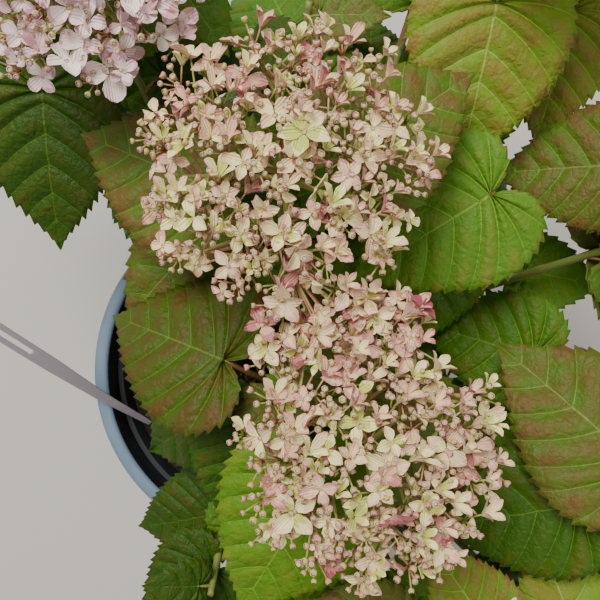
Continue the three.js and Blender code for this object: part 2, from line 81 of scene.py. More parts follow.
SHOOTS = [
    Shoot([4, 30], [14, 104, 405], 96, 104, 65, 0.2),
    Shoot([24, -8], [50, -15, 402], 330, 102, 59, 0.2),
    Shoot([-26, 36], [-72, 192, 398], 75, 100, 58, 0.75),
    Shoot([46, 20], [212, 88, 384], 350, 104, 56, 0.7),
    Shoot([20, -38], [104, -146, 380], 290, 102, 56, 0.7),
    Shoot([24, 50], [148, 240, 388], 75, 104, 56, 0.5),
    Shoot([-8, 2], [8, 8, 330], 344, 96, 0, 0.1),
    Shoot([-18, -26], [-30, -118, 288], 245, 84, 0, 0.4),
    Shoot([48, -14], [206, -58, 334], 20, 100, 0, 0.4),
    Shoot([40, 42], [120, 108, 304], 60, 92, 0, 0.3),
    Shoot([-42, 18], [-142, 214, 306], 135, 92, 0, 0.4),
    Shoot([0, 52], [26, 206, 318], 100, 94, 0, 0.4),
    Shoot([0, -44], [22, -180, 306], 250, 94, 0, 0.4),
    Shoot([56, 4], [196, 16, 296], 330, 90, 0, 0.3),
    Shoot([38, -32], [156, -128, 306], 320, 94, 0, 0.4),
    Shoot([14, 60], [92, 224, 306], 60, 94, 0, 0.3),
]
HEADS = [index for index, shoot in enumerate(SHOOTS) if shoot.head]

# Full leaves that show from above, by shoot, pair and side: the blade's foot, its tip, its roll, its tint.
# Their deep and bronze tints are partly painted shade, for leaves low in the middle or under others.
SHOWN_LEAVES = {
    (6, 0, 0): ([-13, 19, 338], [-80, 42, 292], 12, "bronze"),
    (0, 0, 0): ([-14, 100, 346], [-86, 133, 318], 0, "olive"),
    (0, 0, 1): ([38, 112, 356], [100, 156, 342], 0, "olive"),
    (1, 0, 0): ([32, -34, 346], [-8, -107, 318], 0, "fresh"),
    (5, 0, 0): ([118, 200, 340], [107, 124, 306], 0, "golden"),
    (5, 1, 0): ([164, 206, 316], [150, 144, 288], 0, "golden"),
    (9, 0, 0): ([122, 106, 326], [50, 71, 300], 0, "bright"),
    (3, 0, 0): ([190, 118, 332], [136, 122, 288], 0, "olive"),
    (8, 0, 0): ([190, -34, 340], [134, 22, 300], 0, "olive"),
    (8, 1, 0): ([176, -64, 296], [148, -138, 262], 0, "deep"),
    (4, 0, 0): ([118, -118, 332], [92, -82, 312], 0, "golden"),
    (14, 0, 0): ([172, -150, 322], [152, -80, 300], 0, "golden"),
    (12, 0, 0): ([36, -160, 316], [48, -92, 290], 0, "fresh"),
    (2, 1, 0): ([-114, 164, 318], [-118, 86, 282], 0, "deep"),
    (7, 1, 0): ([-30, -86, 242], [-86, -104, 216], 0, "deep"),
    (7, 0, 0): ([-27, -110, 268], [-74, -156, 246], 0, "deep"),
}

# Small leaves on side shoots that show in the same way.
SHOWN_YOUNG = {
    (2, 4, 1): ([-52, 166, 318], [-6, 172, 322], 0, "deep"),
    (2, 3, 1): ([-37, 201, 345], [-15, 170, 345], 0, "mid"),
    (11, 4, 0): ([-3, 186, 310], [26, 171, 330], 0, "deep"),
    (0, 5, 0): ([-37, 80, 300], [-77, 41, 285], 0, "olive"),
    (3, 5, 1): ([158, 69, 255], [207, 59, 250], 0, "bright"),
}
SHOWN = {**SHOWN_LEAVES, **SHOWN_YOUNG}

# Leaves that have dropped, and the tints of others that show in part.
DROPPED = {(3, 0, 1), (3, 2, 1), (10, 1, 0), (10, 2, 0), (10, 2, 1), (13, 0, 0), (9, 3, 0), (10, 5, 0)}
# The deep and shade tints here go to leaves that lie low or under others, and are partly painted shade.
SEEN_TINTS = {
    (8, 0, 1): "shade", (13, 0, 1): "mid", (9, 0, 1): "mid", (10, 0, 1): "mid", (14, 1, 0): "deep",
    (7, 3, 0): "deep", (10, 4, 0): "mid", (10, 4, 1): "deep", (6, 0, 1): "shade", (6, 1, 1): "deep",
    (6, 2, 0): "deep",
}

# Leaf pairs from the top one down, then the young pairs: at the shoot's very tip and lower down.
PAIR_AT = [0.86, 0.66, 0.47, 0.965, 0.78, 0.56]
PAIR_SIZE = [0.86, 1.0, 1.04, 0.4, 0.46, 0.5]
PAIR_DROOP = [18, 25, 30, -25, 8, 14]
PETIOLE_LENGTHS = [20, 32, 42, 7, 12, 16]
FULL_PAIRS = 3

# Canes, the stems that carry on from them, and the flower head's place on its stem.
CANE_SHARE = 0.36
CANE_RADII = [3.4, 2.7]
CANE_FOOT_RISE = 3
STEM_RADII = [2.6, 1.9]
PETIOLE_RADIUS = 1.5
KNEE_SWELL = 0.3
KNEE_WIDTH = 0.012
HEAD_DEPTH = 44
HEAD_LEAN = 0.06

# How a leaf stands, and how far leaves differ from that, in degrees or as shares of a length.
TURN_SPREAD = 16
DROOP_SPREAD = 9
ROLL_SPREAD = 12
LENGTH_SPREAD = 0.08
PETIOLE_RISE = 38
RISE_SPREAD = 8
PETIOLE_SPREAD = 0.15
BLADE_BEND = 0.13
BEND_SPREAD = 0.05

# A shown leaf keeps close to its given line: shares of the swing and tilt that others take.
SHOWN_SWING = 0.4
SHOWN_TILT = 0.6
SHOWN_STRETCH = 1.08

# The blade's half outline, as shares of its length from the stalk's end to the tip.
BLADE_OUTLINE = [
    (0.03, 0), (-0.06, 0.04), (-0.14, 0.14), (-0.13, 0.27), (-0.02, 0.39), (0.15, 0.445),
    (0.33, 0.425), (0.51, 0.345), (0.67, 0.24), (0.81, 0.125), (0.91, 0.045), (1, 0),
]

# Each half of the blade rises from the midrib and arches down again to its margin.
BLADE_FOLD = 0.1
BLADE_ARCH = 0.28

# A leaf that would touch something is turned, tilted or made smaller before it is skipped.
SWINGS = [0, 15, -15, 30, -30, 45, -45, 60, -60, 75, -75]
TILTS = [0, 13, -13, 26, -26]
SHRINKS = [1, 0.88, 0.76]
LEAF_CLEARANCE = 8
STEM_CLEARANCE = 7.5
PETIOLE_CLEARANCE = 6
LABEL_CLEARANCE = 14
YOUNG_EASE = 0.5

# Where no leaf goes: round the rim, low over the compost, below it, and under a head.
RIM_ZONE_RADIUS = 118
RIM_ZONE_REACH = 12
RIM_ZONE_TOP = POT_HEIGHT + 5
COMPOST_ZONE_RADIUS = 122
COMPOST_ZONE_TOP = COMPOST_TOP + 8
LOWEST_LEAF = COMPOST_TOP - 10
HEAD_ZONE_RISE = 20
HEAD_ZONE_MARGIN = 6

# Sample points of a blade. The first rows, at its foot, may come near the shoot's own stem.
SAMPLE_ROWS = 15
SAMPLE_COLUMNS = np.linspace(-1, 1, 9)
SAMPLE_START = -0.12
SAMPLE_RUN = 1.1
FOOT_ROWS = 3

# The finished blade, in shares of its length. A tooth's corners have their place and height in the tooth.
TOOTH_TIP = 0.76
TOOTH_PROFILE = [(0, 0), (0.12, 0.06), (0.45, 0.5), (TOOTH_TIP, 1)]
CORNER_GAP = 0.004
VEIN_SLOPE = 0.72
VEIN_FAN = 0.035
VEIN_BOW = -0.16
VEIN_WIDTH = 0.0034
MIDRIB_WIDTH = 0.007
MIDRIB_RUN = [0.05, 0.965]
PANEL_PUFF = 0.027
VEIN_SINK = 0.12
FULL_RUFFLE = 0.02
YOUNG_RUFFLE = 0.01
SKIN = 0.0055

# Soft waves over a blade, as their number and how fast the fastest is: its ruffles and its blotches.
RUFFLE_WAVES = (4, 9)
BLOTCH_WAVES = (7, 42)

# How far the skin's grain shifts from shoot to shoot and from pair to pair.
SKIN_SHIFT = (37, 41)

# Leaf colours: for each tint the green of its panels, the bronze it turns to, and its veins.
# The deep, shade, mid and bright tints are one green at four strengths, and bronze is a darker olive. Leaves
# low in the plant or under others get the darker ones: partly their own deeper green, partly painted shade.
LEAF_TINTS = {
    "deep": ((0.19, 0.31, 0.05), (0.3, 0.31, 0.07), (0.28, 0.41, 0.1)),
    "shade": ((0.23, 0.37, 0.07), (0.35, 0.36, 0.1), (0.35, 0.48, 0.15)),
    "mid": ((0.28, 0.44, 0.1), (0.42, 0.42, 0.13), (0.42, 0.55, 0.18)),
    "bright": ((0.35, 0.52, 0.14), (0.47, 0.5, 0.18), (0.48, 0.62, 0.22)),
    "fresh": ((0.34, 0.5, 0.09), (0.46, 0.52, 0.15), (0.46, 0.6, 0.2)),
    "golden": ((0.43, 0.55, 0.14), (0.52, 0.43, 0.2), (0.57, 0.65, 0.29)),
    "olive": ((0.32, 0.43, 0.12), (0.41, 0.33, 0.16), (0.44, 0.52, 0.21)),
    "bronze": ((0.26, 0.36, 0.07), (0.35, 0.27, 0.11), (0.37, 0.46, 0.15)),
}
TINT_LEVELS = 5
UNDERSIDE = (0.48, 0.57, 0.26)

# The tints that other leaves draw from, by pair: the higher ones are fresher and more bronzed.
TINT_CHANCES = [
    ("fresh", "olive", "mid", "golden"),
    ("mid", "deep", "olive", "mid"),
    ("deep", "mid", "deep", "mid"),
    ("fresh", "mid", "olive", "mid"),
]

# How far a whole leaf has turned to bronze, and what its margin, its panels' middles and chance add.
TINT_TURNED = {"olive": 1.5, "golden": 1.1, "bronze": 1.3}
LEAF_TURN_SPREAD = 0.5
MARGIN_TURN = 1.1
MIDDLE_TURN = 1.9
PANEL_TURN_SPREAD = 0.65

# Flower heads: florets on a spiral over a low dome, carried by rays from a hub.
FLORET_COUNT = 70
FLORET_STEP = 3
FLORET_RADIUS = 9.5
FLORET_SPREAD = 0.16
LARGE_FLORET = 1.06
SMALL_FLORET = 0.86
FLORET_LEAN = 28
FLORET_LEAN_SPREAD = 8
FLORET_TURN_SPREAD = 9
SPIRAL_TURN = 137.508
RAY_COUNT = 8
RAY_TURN_SPREAD = 8
DOME_DROP = 17
DROP_SPREAD = 3
HUB_DROP = 32
MIDDLE_HEADS = 3
PALE_HEAD = 2

# A ray's bends: share of the head's radius, and how far below its top. The middle ray ends below the top.
RAY_BENDS = [(0.3, HUB_DROP - 7), (0.66, DOME_DROP - 2)]
MIDDLE_RAY_DROP = 8

# By head: the share of smaller florets that stay, and the bunches of buds on each ray.
KEPT_FLORETS = [0.95, 0.8, 1, 0.85, 0.85, 0.85]
BUNCHES_PER_RAY = [9, 9, 6, 8, 8, 8]

# Bunches stand a little below the dome on either side of a ray. One bud in each is a folded floret.
BUNCHES_FROM = 0.34
BUNCHES_BY = 0.56
BUNCH_ASIDE = 0.22
BUNCH_DROP = 6.5
REACHING_BUNCH_DROP = 6
BUDS_PER_BUNCH = 7
BUD_STALK_LENGTH = 7.5
BUD_RADIUS = 1.45
FLORET_BUD_RADIUS = 1.1
FOLDED_RADIUS = 5.4

# Florets that stand out from a head's round outline, by head: their middle turn, its spread, their number.
REACHING = {0: (286, 18, 8), 1: (102, 34, 26)}
REACHING_FROM = 0.92
REACHING_BY = 0.3
REACHING_LEAN = 30

# How likely a floret is to have three sepals or five, to be rosier, and to be wide rather than narrow.
THREE_SEPAL_CHANCE = 0.16
FIVE_SEPAL_CHANCE = 0.14
ROSY_CHANCE = 0.16
WIDE_CHANCE = 0.6

# Florets away from the pale head are smaller than their solids, and all are a little wider or narrower.
FLORET_SHARE = 0.85
WIDE_SHARE = 1.06
NARROW_SHARE = 0.8

# How far an open and a folded floret are cupped.
OPEN_CUP = 0.22
FOLDED_CUP = 1.5

# First and last radius of each kind of stalk in a head.
PEDUNCLE_RADII = [1.8, 1.71]
RAY_RADII = [1.43, 0.936]
BRANCH_RADII = [0.95, 0.6]
PEDICEL_RADII = [0.62, 0.42]
BUD_STALK_RADII = [0.44, 0.36]

# A sepal's half widths at stations from its foot to its tip, as shares of its length.
SEPAL_STATIONS = [0, 0.22, 0.5, 0.76, 0.93, 1]
ROUND_SEPAL = [0.1, 0.27, 0.38, 0.33, 0.18, 0]
POINTED_SEPAL = [0.09, 0.26, 0.33, 0.21, 0.08, 0]
SEPAL_COLUMNS = 5
SEPAL_THICKNESS = 0.4

# A closed bud from bottom to top, as radius and height: an urn with a raised ring and a sunken top.
BUD_PROFILE = [(0.45, -0.9), (1.0, -0.1), (0.84, 0.52), (0.6, 0.6), (0.42, 0.36)]
BUD_ENDS = [-1.05, 0.55]
BUD_SIDES = 6

# Sepal colours. The pale head keeps to the last three, the others to those before them.
FLOWER_TONES = {
    "green cream sepal": (0.79, 0.81, 0.42),
    "cream sepal": (0.97, 0.93, 0.68),
    "blush sepal": (0.95, 0.84, 0.67),
    "pink sepal": (0.89, 0.72, 0.62),
    "dusty rose sepal": (0.76, 0.52, 0.48),
    "deep rose sepal": (0.64, 0.32, 0.36),
    "shell sepal": (0.98, 0.94, 0.89),
    "pale mauve sepal": (0.95, 0.86, 0.85),
    "mauve sepal": (0.84, 0.68, 0.69),
}
WARM_TONES = (0, 5)
PALE_TONES = (6, 8)

# Bud colours come in two sets of body, ring and hollow. The second set is warmer.
BUD_TONES = {
    "bud body beige": (0.76, 0.7, 0.46),
    "bud ring pale": (0.84, 0.75, 0.6),
    "bud hollow brown": (0.46, 0.31, 0.22),
    "bud body rose": (0.78, 0.6, 0.5),
    "bud ring white": (0.86, 0.75, 0.66),
    "bud hollow plum": (0.5, 0.28, 0.28),
}
HEAD_STALK_TONES = {
    "head stalk olive": (0.64, 0.66, 0.34),
    "head stalk beige": (0.76, 0.7, 0.48),
    "head stalk rosy": (0.74, 0.57, 0.42),
}
STEM_TONES = {"green stem": (0.47, 0.52, 0.24), "reddish stalk": (0.55, 0.4, 0.26)}
CRUMB_TONES = {
    "crumb dark": ((0.08, 0.06, 0.05), (0.22, 0.16, 0.12)),
    "crumb bark": ((0.2, 0.13, 0.08), (0.36, 0.25, 0.17)),
    "crumb fibre": ((0.25, 0.19, 0.12), (0.45, 0.36, 0.25)),
}

# Where the random series of each kind of thing begins.
SEEDS = {
    "compost": 31,
    "leaf place": 1000,
    "floret place": 7000,
    "reaching floret": 7050,
    "ray": 9000,
    "cane": 20000,
    "leaf tint": 40000,
    "leaf surface": 50000,
    "floret": 60000,
    "bud bunch": 80000,
}

# The camera looks straight down from its place. Each light has its place in metres, size, power and colour.
CAMERA_PLACE = (21, 50, 654)
CAMERA_ANGLE = 50
LIGHTS = {
    "key": ((-0.5, 0.9, 1.9), 1.0, 46, (1, 0.96, 0.9)),
    "fill": ((1.4, -0.9, 1.3), 1.6, 10, (1, 0.97, 0.94)),
}
LIGHT_AIM = (0.02, 0.04, 0.3)
SKY_COLOUR = (1, 0.97, 0.93, 1)
SKY_STRENGTH = 0.4


# Plain arithmetic on points.
def point(*values):
    return np.array(values, float)


def unit(vector):
    return vector / math.sqrt(float(vector @ vector))


def between(a, b, t):
    return np.asarray(a, float) * (1 - t) + np.asarray(b, float) * t


def arc(start, end, sag, steps):
    """A line from start to end whose middle is lifted by sag."""
    t = np.linspace(0, 1, steps + 1)[:, None]
    return between(start, end, t) + np.hstack([np.zeros((steps + 1, 2)), 4 * sag * t * (1 - t)])


def line_point(line, t):
    steps = len(line) - 1
    index = min(steps - 1, int(t * steps))
    return between(line[index], line[index + 1], t * steps - index)


# Chance that comes out the same on each run.
class Series:
    """The same short random series comes back for the same seed."""

    def __init__(self, seed):
        self.state = seed
        for _ in range(3):
            self.next()

    def next(self):
        self.state = (self.state * 1664525 + 1013904223) % 4294967296
        return self.state / 4294967296

    def spread(self, reach):
        return (self.next() * 2 - 1) * reach


def head_series(kind, index):
    return Series(SEEDS[kind] + 100 * index)


def ripple(series, count, fastest):
    """A soft random surface: a few crossing waves."""
    waves = [
        (series.spread(fastest), series.spread(fastest), series.next() * 2 * math.pi)
        for _ in range(count)
    ]
    return lambda x, y: sum(np.sin(a * x + b * y + c) for a, b, c in waves) / math.sqrt(count)


# The growth rule: where shoots run and leaves stand.
def shoot_point(shoot, t):
    """The line of a cane and the stem that carries on from it, t running from foot to top."""
    lean = HEAD_LEAN if shoot.head else 0
    start = point(*shoot.foot, COMPOST_TOP + PART_GAP)
    end = point(
        shoot.top[0] - lean * (shoot.top[0] - shoot.foot[0]),
        shoot.top[1] - lean * (shoot.top[1] - shoot.foot[1]),
        shoot.top[2] - HEAD_DEPTH if shoot.head else shoot.top[2],
    )
    middle = start + (end - start) * point(shoot.bow, shoot.bow, 0.5 - 0.15 * shoot.bow)
    return start * (1 - t) ** 2 + middle * 2 * t * (1 - t) + end * t * t


def shoot_line(shoot, first, last, steps):
    return np.array([shoot_point(shoot, first + (last - first) * i / steps) for i in range(steps + 1)])


def half_width(x):
    widest = 0
    for (x0, y0), (x1, y1) in zip(BLADE_OUTLINE, BLADE_OUTLINE[1:]):
        if (x0 - x) * (x1 - x) <= 0 and x0 != x1:
            widest = max(widest, y0 + (y1 - y0) * (x - x0) / (x1 - x0))
    return widest


def sample_points():
    """Points all over a blade, as shares of its length."""
    rows = [SAMPLE_START + SAMPLE_RUN * row / (SAMPLE_ROWS - 1) for row in range(SAMPLE_ROWS)]
    x = np.repeat(rows, len(SAMPLE_COLUMNS))
    return x, np.array([half_width(each) for each in x]) * np.tile(SAMPLE_COLUMNS, SAMPLE_ROWS)


SAMPLE_X, SAMPLE_Y = sample_points()


class Leaf:
    """A leaf in its place: its stalk, the blade's foot and directions, and points all over the blade."""

    def __init__(self, shoot, pair, side, swing, tilt, shrink):
        self.shoot = shoot
        self.pair = pair
        self.side = side
        self.key = (shoot, pair, side)
        self.is_full = pair < FULL_PAIRS
        own = SHOOTS[shoot]
        series = self.series("leaf place")
        turn = math.radians(own.turn + 90 * pair + 180 * side + series.spread(TURN_SPREAD) + swing)
        droop = math.radians(PAIR_DROOP[pair] + series.spread(DROOP_SPREAD) + tilt)
        roll = math.radians(series.spread(ROLL_SPREAD))
        self.length = own.leaf * PAIR_SIZE[pair] * (1 + series.spread(LENGTH_SPREAD)) * shrink
        rise = math.radians(PETIOLE_RISE + series.spread(RISE_SPREAD))
        petiole = PETIOLE_LENGTHS[pair] * (1 + series.spread(PETIOLE_SPREAD))
        self.bend = BLADE_BEND + series.spread(BEND_SPREAD)
        self.root = shoot_point(own, PAIR_AT[pair])
        flat = math.cos(rise)
        self.foot = self.root + point(flat * math.cos(turn), flat * math.sin(turn), math.sin(rise)) * petiole
        if self.key in SHOWN:
            turn, droop, roll = self.keep_to_line(swing, tilt)
        self.face(turn, droop, roll)
        self.samples = self.place(SAMPLE_X, SAMPLE_Y)
        self.stalk = np.array([between(self.root, self.foot, i / 8) for i in range(9)])

    def series(self, kind):
        return Series(SEEDS[kind] + 1000 * self.shoot + 10 * self.pair + self.side)

    def keep_to_line(self, swing, tilt):
        """A shown leaf has its given foot and length. What comes back is its turn, droop and roll."""
        foot, tip, roll, _ = SHOWN[self.key]
        run = point(*tip) - point(*foot)
        level = math.hypot(run[0], run[1])
        self.foot = point(*foot)
        self.length = math.hypot(level, run[2]) * SHOWN_STRETCH
        turn = math.atan2(run[1], run[0]) + math.radians(swing) * SHOWN_SWING
        droop = math.atan2(-run[2], level) - BLADE_BEND + math.radians(tilt) * SHOWN_TILT
        return turn, droop, math.radians(roll)

    def face(self, turn, droop, roll):
        """The blade's own three directions: along the midrib, across it and up."""
        cos_turn, sin_turn = math.cos(turn), math.sin(turn)
        cos_droop, sin_droop = math.cos(droop), math.sin(droop)
        flat_up = point(cos_turn * sin_droop, sin_turn * sin_droop, cos_droop)
        flat_across = point(-sin_turn, cos_turn, 0)
        self.along = point(cos_turn * cos_droop, sin_turn * cos_droop, -sin_droop)
        self.across = flat_across * math.cos(roll) + flat_up * math.sin(roll)
        self.up = flat_up * math.cos(roll) - flat_across * math.sin(roll)

    def place(self, x, y, lift=0.0):
        """Points of the blade, x along the midrib and y across it, both as shares of its length."""
        rise = -self.bend * x * np.abs(x) + BLADE_FOLD * np.abs(y) - BLADE_ARCH * y * y + lift
        flat = np.multiply.outer(x, self.along) + np.multiply.outer(y, self.across)
        return self.foot + (flat + np.multiply.outer(rise, self.up)) * self.length


def closer_than(limit, some, others):
    """Whether two points, one of each kind, are closer than the limit. Far ones are dropped first."""
    low, high = some.min(axis=0) - limit, some.max(axis=0) + limit
    near = others[((others > low) & (others < high)).all(axis=1)]
    if not len(near):
        return False
    gaps = some[:, None, :] - near[None, :, :]
    return bool((np.einsum("ijk,ijk->ij", gaps, gaps) < limit * limit).any())


def meets_pot(samples):
    radius = np.hypot(samples[:, 0], samples[:, 1])
    height = samples[:, 2]
    near_rim = (np.abs(radius - RIM_ZONE_RADIUS) < RIM_ZONE_REACH) & (height < RIM_ZONE_TOP)
    over_compost = (radius < COMPOST_ZONE_RADIUS) & (height < COMPOST_ZONE_TOP)
    return bool((near_rim | over_compost | (height < LOWEST_LEAF)).any())


def meets_head(samples):
    """A head keeps an upturned cone below it free, as wide as the head at its rim."""
    for index in HEADS:
        shoot = SHOOTS[index]
        x, y, top = shoot.top
        share = np.clip((samples[:, 2] - top + HEAD_DEPTH + 2) / HEAD_ZONE_RISE, 0, 1)
        away = np.hypot(samples[:, 0] - x, samples[:, 1] - y)
        inside = away < (shoot.head + HEAD_ZONE_MARGIN) * share
        if (inside & (samples[:, 2] < top + HEAD_ZONE_RISE)).any():
            return True
    return False


class Crowd:
    """What has grown so far: the stems, the label and the leaves that new leaves keep clear of."""

    def __init__(self):
        self.stems = [shoot_line(shoot, 0, 1, 39) for shoot in SHOOTS]
        self.other_stems = [
            np.vstack(self.stems[:i] + self.stems[i + 1:]) for i in range(len(self.stems))
        ]
        self.label = np.array([between(LABEL_RIM, LABEL_END, i / 20) for i in range(21)])
        self.leaves = []
        self.blades = np.empty((0, 3))
        self.stalks = np.empty((0, 3))

    def fits(self, leaf, ease):
        beyond_foot = leaf.samples[FOOT_ROWS * len(SAMPLE_COLUMNS):]
        other_stems = self.other_stems[leaf.shoot]
        return not (
            meets_pot(leaf.samples)
            or meets_head(leaf.samples)
            or closer_than(LABEL_CLEARANCE, leaf.samples, self.label)
            or closer_than(STEM_CLEARANCE * ease, beyond_foot, self.stems[leaf.shoot])
            or closer_than(STEM_CLEARANCE * ease, leaf.samples, other_stems)
            or closer_than(PETIOLE_CLEARANCE, leaf.stalk, other_stems)
            or closer_than(LEAF_CLEARANCE * ease, leaf.samples, self.blades)
            or closer_than(PETIOLE_CLEARANCE * ease, leaf.samples, self.stalks)
            or closer_than(PETIOLE_CLEARANCE * ease, leaf.stalk, self.blades)
        )

    def keep(self, leaf):
        self.leaves.append(leaf)
        self.blades = np.vstack([self.blades, leaf.samples])
        self.stalks = np.vstack([self.stalks, leaf.stalk])

    def try_leaf(self, key, ease):
        for shrink, tilt, swing in product(SHRINKS, TILTS, SWINGS):
            leaf = Leaf(*key, swing, tilt, shrink)
            if self.fits(leaf, ease):
                self.keep(leaf)
                return

    def grow(self, pairs, shown, ease=1.0):
        """Leaves that show are tried first, then the others of these pairs from the top one down."""
        keys = [(shoot, pair, side) for pair, shoot, side in product(pairs, range(len(SHOOTS)), (0, 1))]
        for key in [*shown, *(key for key in keys if key not in {*shown, *DROPPED})]:
            self.try_leaf(key, ease)


# Meshes made of points and triangles.
class Joined:
    """Points and triangles of many small things that become one mesh."""

    def __init__(self):
        self.points = []
        self.triangles = []
        self.slots = []
        self.places = []
        self.count = 0

    def add(self, points, triangles, slots, places=None):
        """Slots are the materials of the triangles, places the points' own places on their skin."""
        self.points.append(points)
        self.triangles.append(triangles + self.count)
        self.slots.append(np.broadcast_to(slots, len(triangles)))
        self.places.append(np.zeros((len(points), 2)) if places is None else places)
        self.count += len(points)

    def finish(self, name, materials, slot, replaced=()):
        mesh = bpy.data.meshes.new(name)
        triangles = np.vstack(self.triangles)
        places = np.vstack(self.places)[triangles.ravel()]
        mesh.from_pydata(np.vstack(self.points) * METRES, [], triangles)
        for material in materials:
            mesh.materials.append(material)
        mesh.polygons.foreach_set("material_index", np.concatenate(self.slots).astype(np.int32))
        mesh.polygons.foreach_set("use_smooth", np.ones(len(triangles), bool))
        mesh.uv_layers.new(name="skin").uv.foreach_set("vector", places.ravel().astype(np.float32))
        mesh.update()
        piece = bpy.data.objects.new(name, mesh)
        bpy.context.scene.collection.objects.link(piece)
        claim(piece, replaced)


def claim(piece, replaced=()):
    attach(piece, "root")
    if replaced:
        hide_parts(*replaced)


def grid_triangles(rows, columns, wrap=False):
    """Two triangles for each cell of a grid of points, rows joined end to end where they wrap."""
    cells = columns if wrap else columns - 1
    row, column = np.meshgrid(np.arange(rows - 1), np.arange(cells), indexing="ij")
    after = (column + 1) % columns
    a = (row * columns + column).ravel()
    b = (row * columns + after).ravel()
    c = ((row + 1) * columns + after).ravel()
    d = ((row + 1) * columns + column).ravel()
    return np.concatenate([np.stack([a, b, c], 1), np.stack([a, c, d], 1)])


def strip_triangles(edge, other):
    """Two triangles for each step along two edges with as many points."""
    a, b, c, d = edge[:-1], edge[1:], other[1:], other[:-1]
    return np.concatenate([np.stack([a, b, c], 1), np.stack([a, c, d], 1)])


def closed_tube_triangles(rings, sides):
    """A wall from ring to ring, and at each end a fan to one point. Those two points come last."""
    last = rings * sides
    turn = np.arange(sides)
    after = (turn + 1) % sides
    near_end = np.stack([np.full(sides, last), after, turn], 1)
    far_end = np.stack([np.full(sides, last + 1), last - sides + turn, last - sides + after], 1)
    return np.concatenate([grid_triangles(rings, sides, wrap=True), near_end, far_end])


def angles_round(sides):
    return np.arange(sides) * 2 * math.pi / sides


def tube(path, radii, sides, relief=None):
    """A round limb along a path with closed ends. Relief gives each ring and side its own radius share."""
    path = np.asarray(path, float)
    ahead = np.gradient(path, axis=0)
    ahead /= np.linalg.norm(ahead, axis=1)[:, None]
    guide = point(0, 0, 1) if abs(ahead[0][2]) < 0.9 else point(1, 0, 0)
    angles = angles_round(sides)
    rings = []
    for ring, (centre, forward, radius) in enumerate(zip(path, ahead, radii)):
        up = unit(np.cross(guide, forward))
        guide = np.cross(forward, up)
        share = 1.0 if relief is None else relief[ring]
        reach = (radius * share * np.ones(sides))[:, None]
        rings.append(centre + reach * (np.outer(np.cos(angles), guide) + np.outer(np.sin(angles), up)))
    return np.vstack([*rings, path[:1], path[-1:]]), closed_tube_triangles(len(path), sides)


# Colours and the nodes that materials are made of.
def as_light(value):
    return ((value + 0.055) / 1.055) ** 2.4 if value > 0.04045 else value / 12.92


def tone(red, green, blue):
    """A colour as seen on a screen, turned into light."""
    return as_light(red), as_light(green), as_light(blue), 1.0


def blend_tone(first, second, share):
    return tuple(a * (1 - share) + b * share for a, b in zip(first, second))


def new_material(name, colour, roughness):
    material = bpy.data.materials.new(name)
    material.use_nodes = True
    shader = material.node_tree.nodes["Principled BSDF"]
    shader.inputs["Base Color"].default_value = tone(*colour)
    shader.inputs["Roughness"].default_value = roughness
    return material, material.node_tree, shader


def add_node(tree, kind, **settings):
    node = tree.nodes.new(kind)
    for name, value in settings.items():
        if name in node.inputs:
            node.inputs[name].default_value = value
        else:
            setattr(node, name, value)
    return node


def object_place(tree):
    return add_node(tree, "ShaderNodeTexCoord").outputs["Object"]


def skin_place(tree):
    return add_node(tree, "ShaderNodeUVMap", uv_map="skin").outputs["UV"]


def noise_on(tree, place, scale, detail=3.0):
    texture = add_node(tree, "ShaderNodeTexNoise", Scale=scale, Detail=detail)
    tree.links.new(place, texture.inputs["Vector"])
    return texture.outputs["Fac"]


def ranged(tree, value, low, high):
    node = add_node(tree, "ShaderNodeMapRange")
    node.inputs["To Min"].default_value = low
    node.inputs["To Max"].default_value = high
    tree.links.new(value, node.inputs["Value"])
    return node.outputs["Result"]


def two_tone(tree, shader, value, low, dark, high, light):
    """The surface goes from dark, where the value is low, to light, where it is high."""
    ramp = add_node(tree, "ShaderNodeValToRGB")
    for stop, position, colour in zip(ramp.color_ramp.elements, (low, high), (dark, light)):
        stop.position = position
        stop.color = tone(*colour)
    tree.links.new(value, ramp.inputs["Fac"])
    tree.links.new(ramp.outputs["Color"], shader.inputs["Base Color"])


def raise_surface(tree, shader, height, strength, distance):
    bump = add_node(tree, "ShaderNodeBump", Strength=strength, Distance=distance)
    tree.links.new(height, bump.inputs["Height"])
    tree.links.new(bump.outputs["Normal"], shader.inputs["Normal"])


# Materials.
def veinlets(tree, skin, scale):
    """Small pillows between sunken veinlets."""
    net = add_node(tree, "ShaderNodeTexVoronoi", feature="DISTANCE_TO_EDGE", Scale=scale)
    tree.links.new(skin, net.inputs["Vector"])
    return ranged(tree, net.outputs["Distance"], 0.0, 2.2)


def leaf_material(name, colour, roughness=0.5):
    """A matt leaf skin: a fine and a coarse net of veinlets and a soft grain in the leaf's own map."""
    material, tree, shader = new_material(name, colour, roughness)
    shader.inputs["Specular IOR Level"].default_value = 0.2
    skin = skin_place(tree)
    nets = add_node(tree, "ShaderNodeMath", operation="MULTIPLY_ADD")
    nets.inputs[1].default_value = 0.4
    tree.links.new(veinlets(tree, skin, 0.45), nets.inputs[0])
    tree.links.new(veinlets(tree, skin, 0.17), nets.inputs[2])
    grain = ranged(tree, noise_on(tree, skin, 0.3), roughness - 0.1, roughness + 0.14)
    tree.links.new(grain, shader.inputs["Roughness"])
    raise_surface(tree, shader, nets.outputs["Value"], 0.65, 0.0009)
    return material


def petal_material(name, colour):
    """A soft sepal skin with fine ribs that run out along it."""
    material, tree, shader = new_material(name, colour, 0.55)
    shader.inputs["Specular IOR Level"].default_value = 0.25
    shader.inputs["Sheen Weight"].default_value = 0.15
    ribs = add_node(tree, "ShaderNodeTexWave", bands_direction="Y", Scale=0.3, Distortion=1.2)
    tree.links.new(skin_place(tree), ribs.inputs["Vector"])
    raise_surface(tree, shader, ribs.outputs["Fac"], 0.7, 0.0004)
    return material


def stalk_material(name, colour):
    material, tree, shader = new_material(name, colour, 0.55)
    raise_surface(tree, shader, noise_on(tree, object_place(tree), 900), 0.3, 0.0003)
    return material


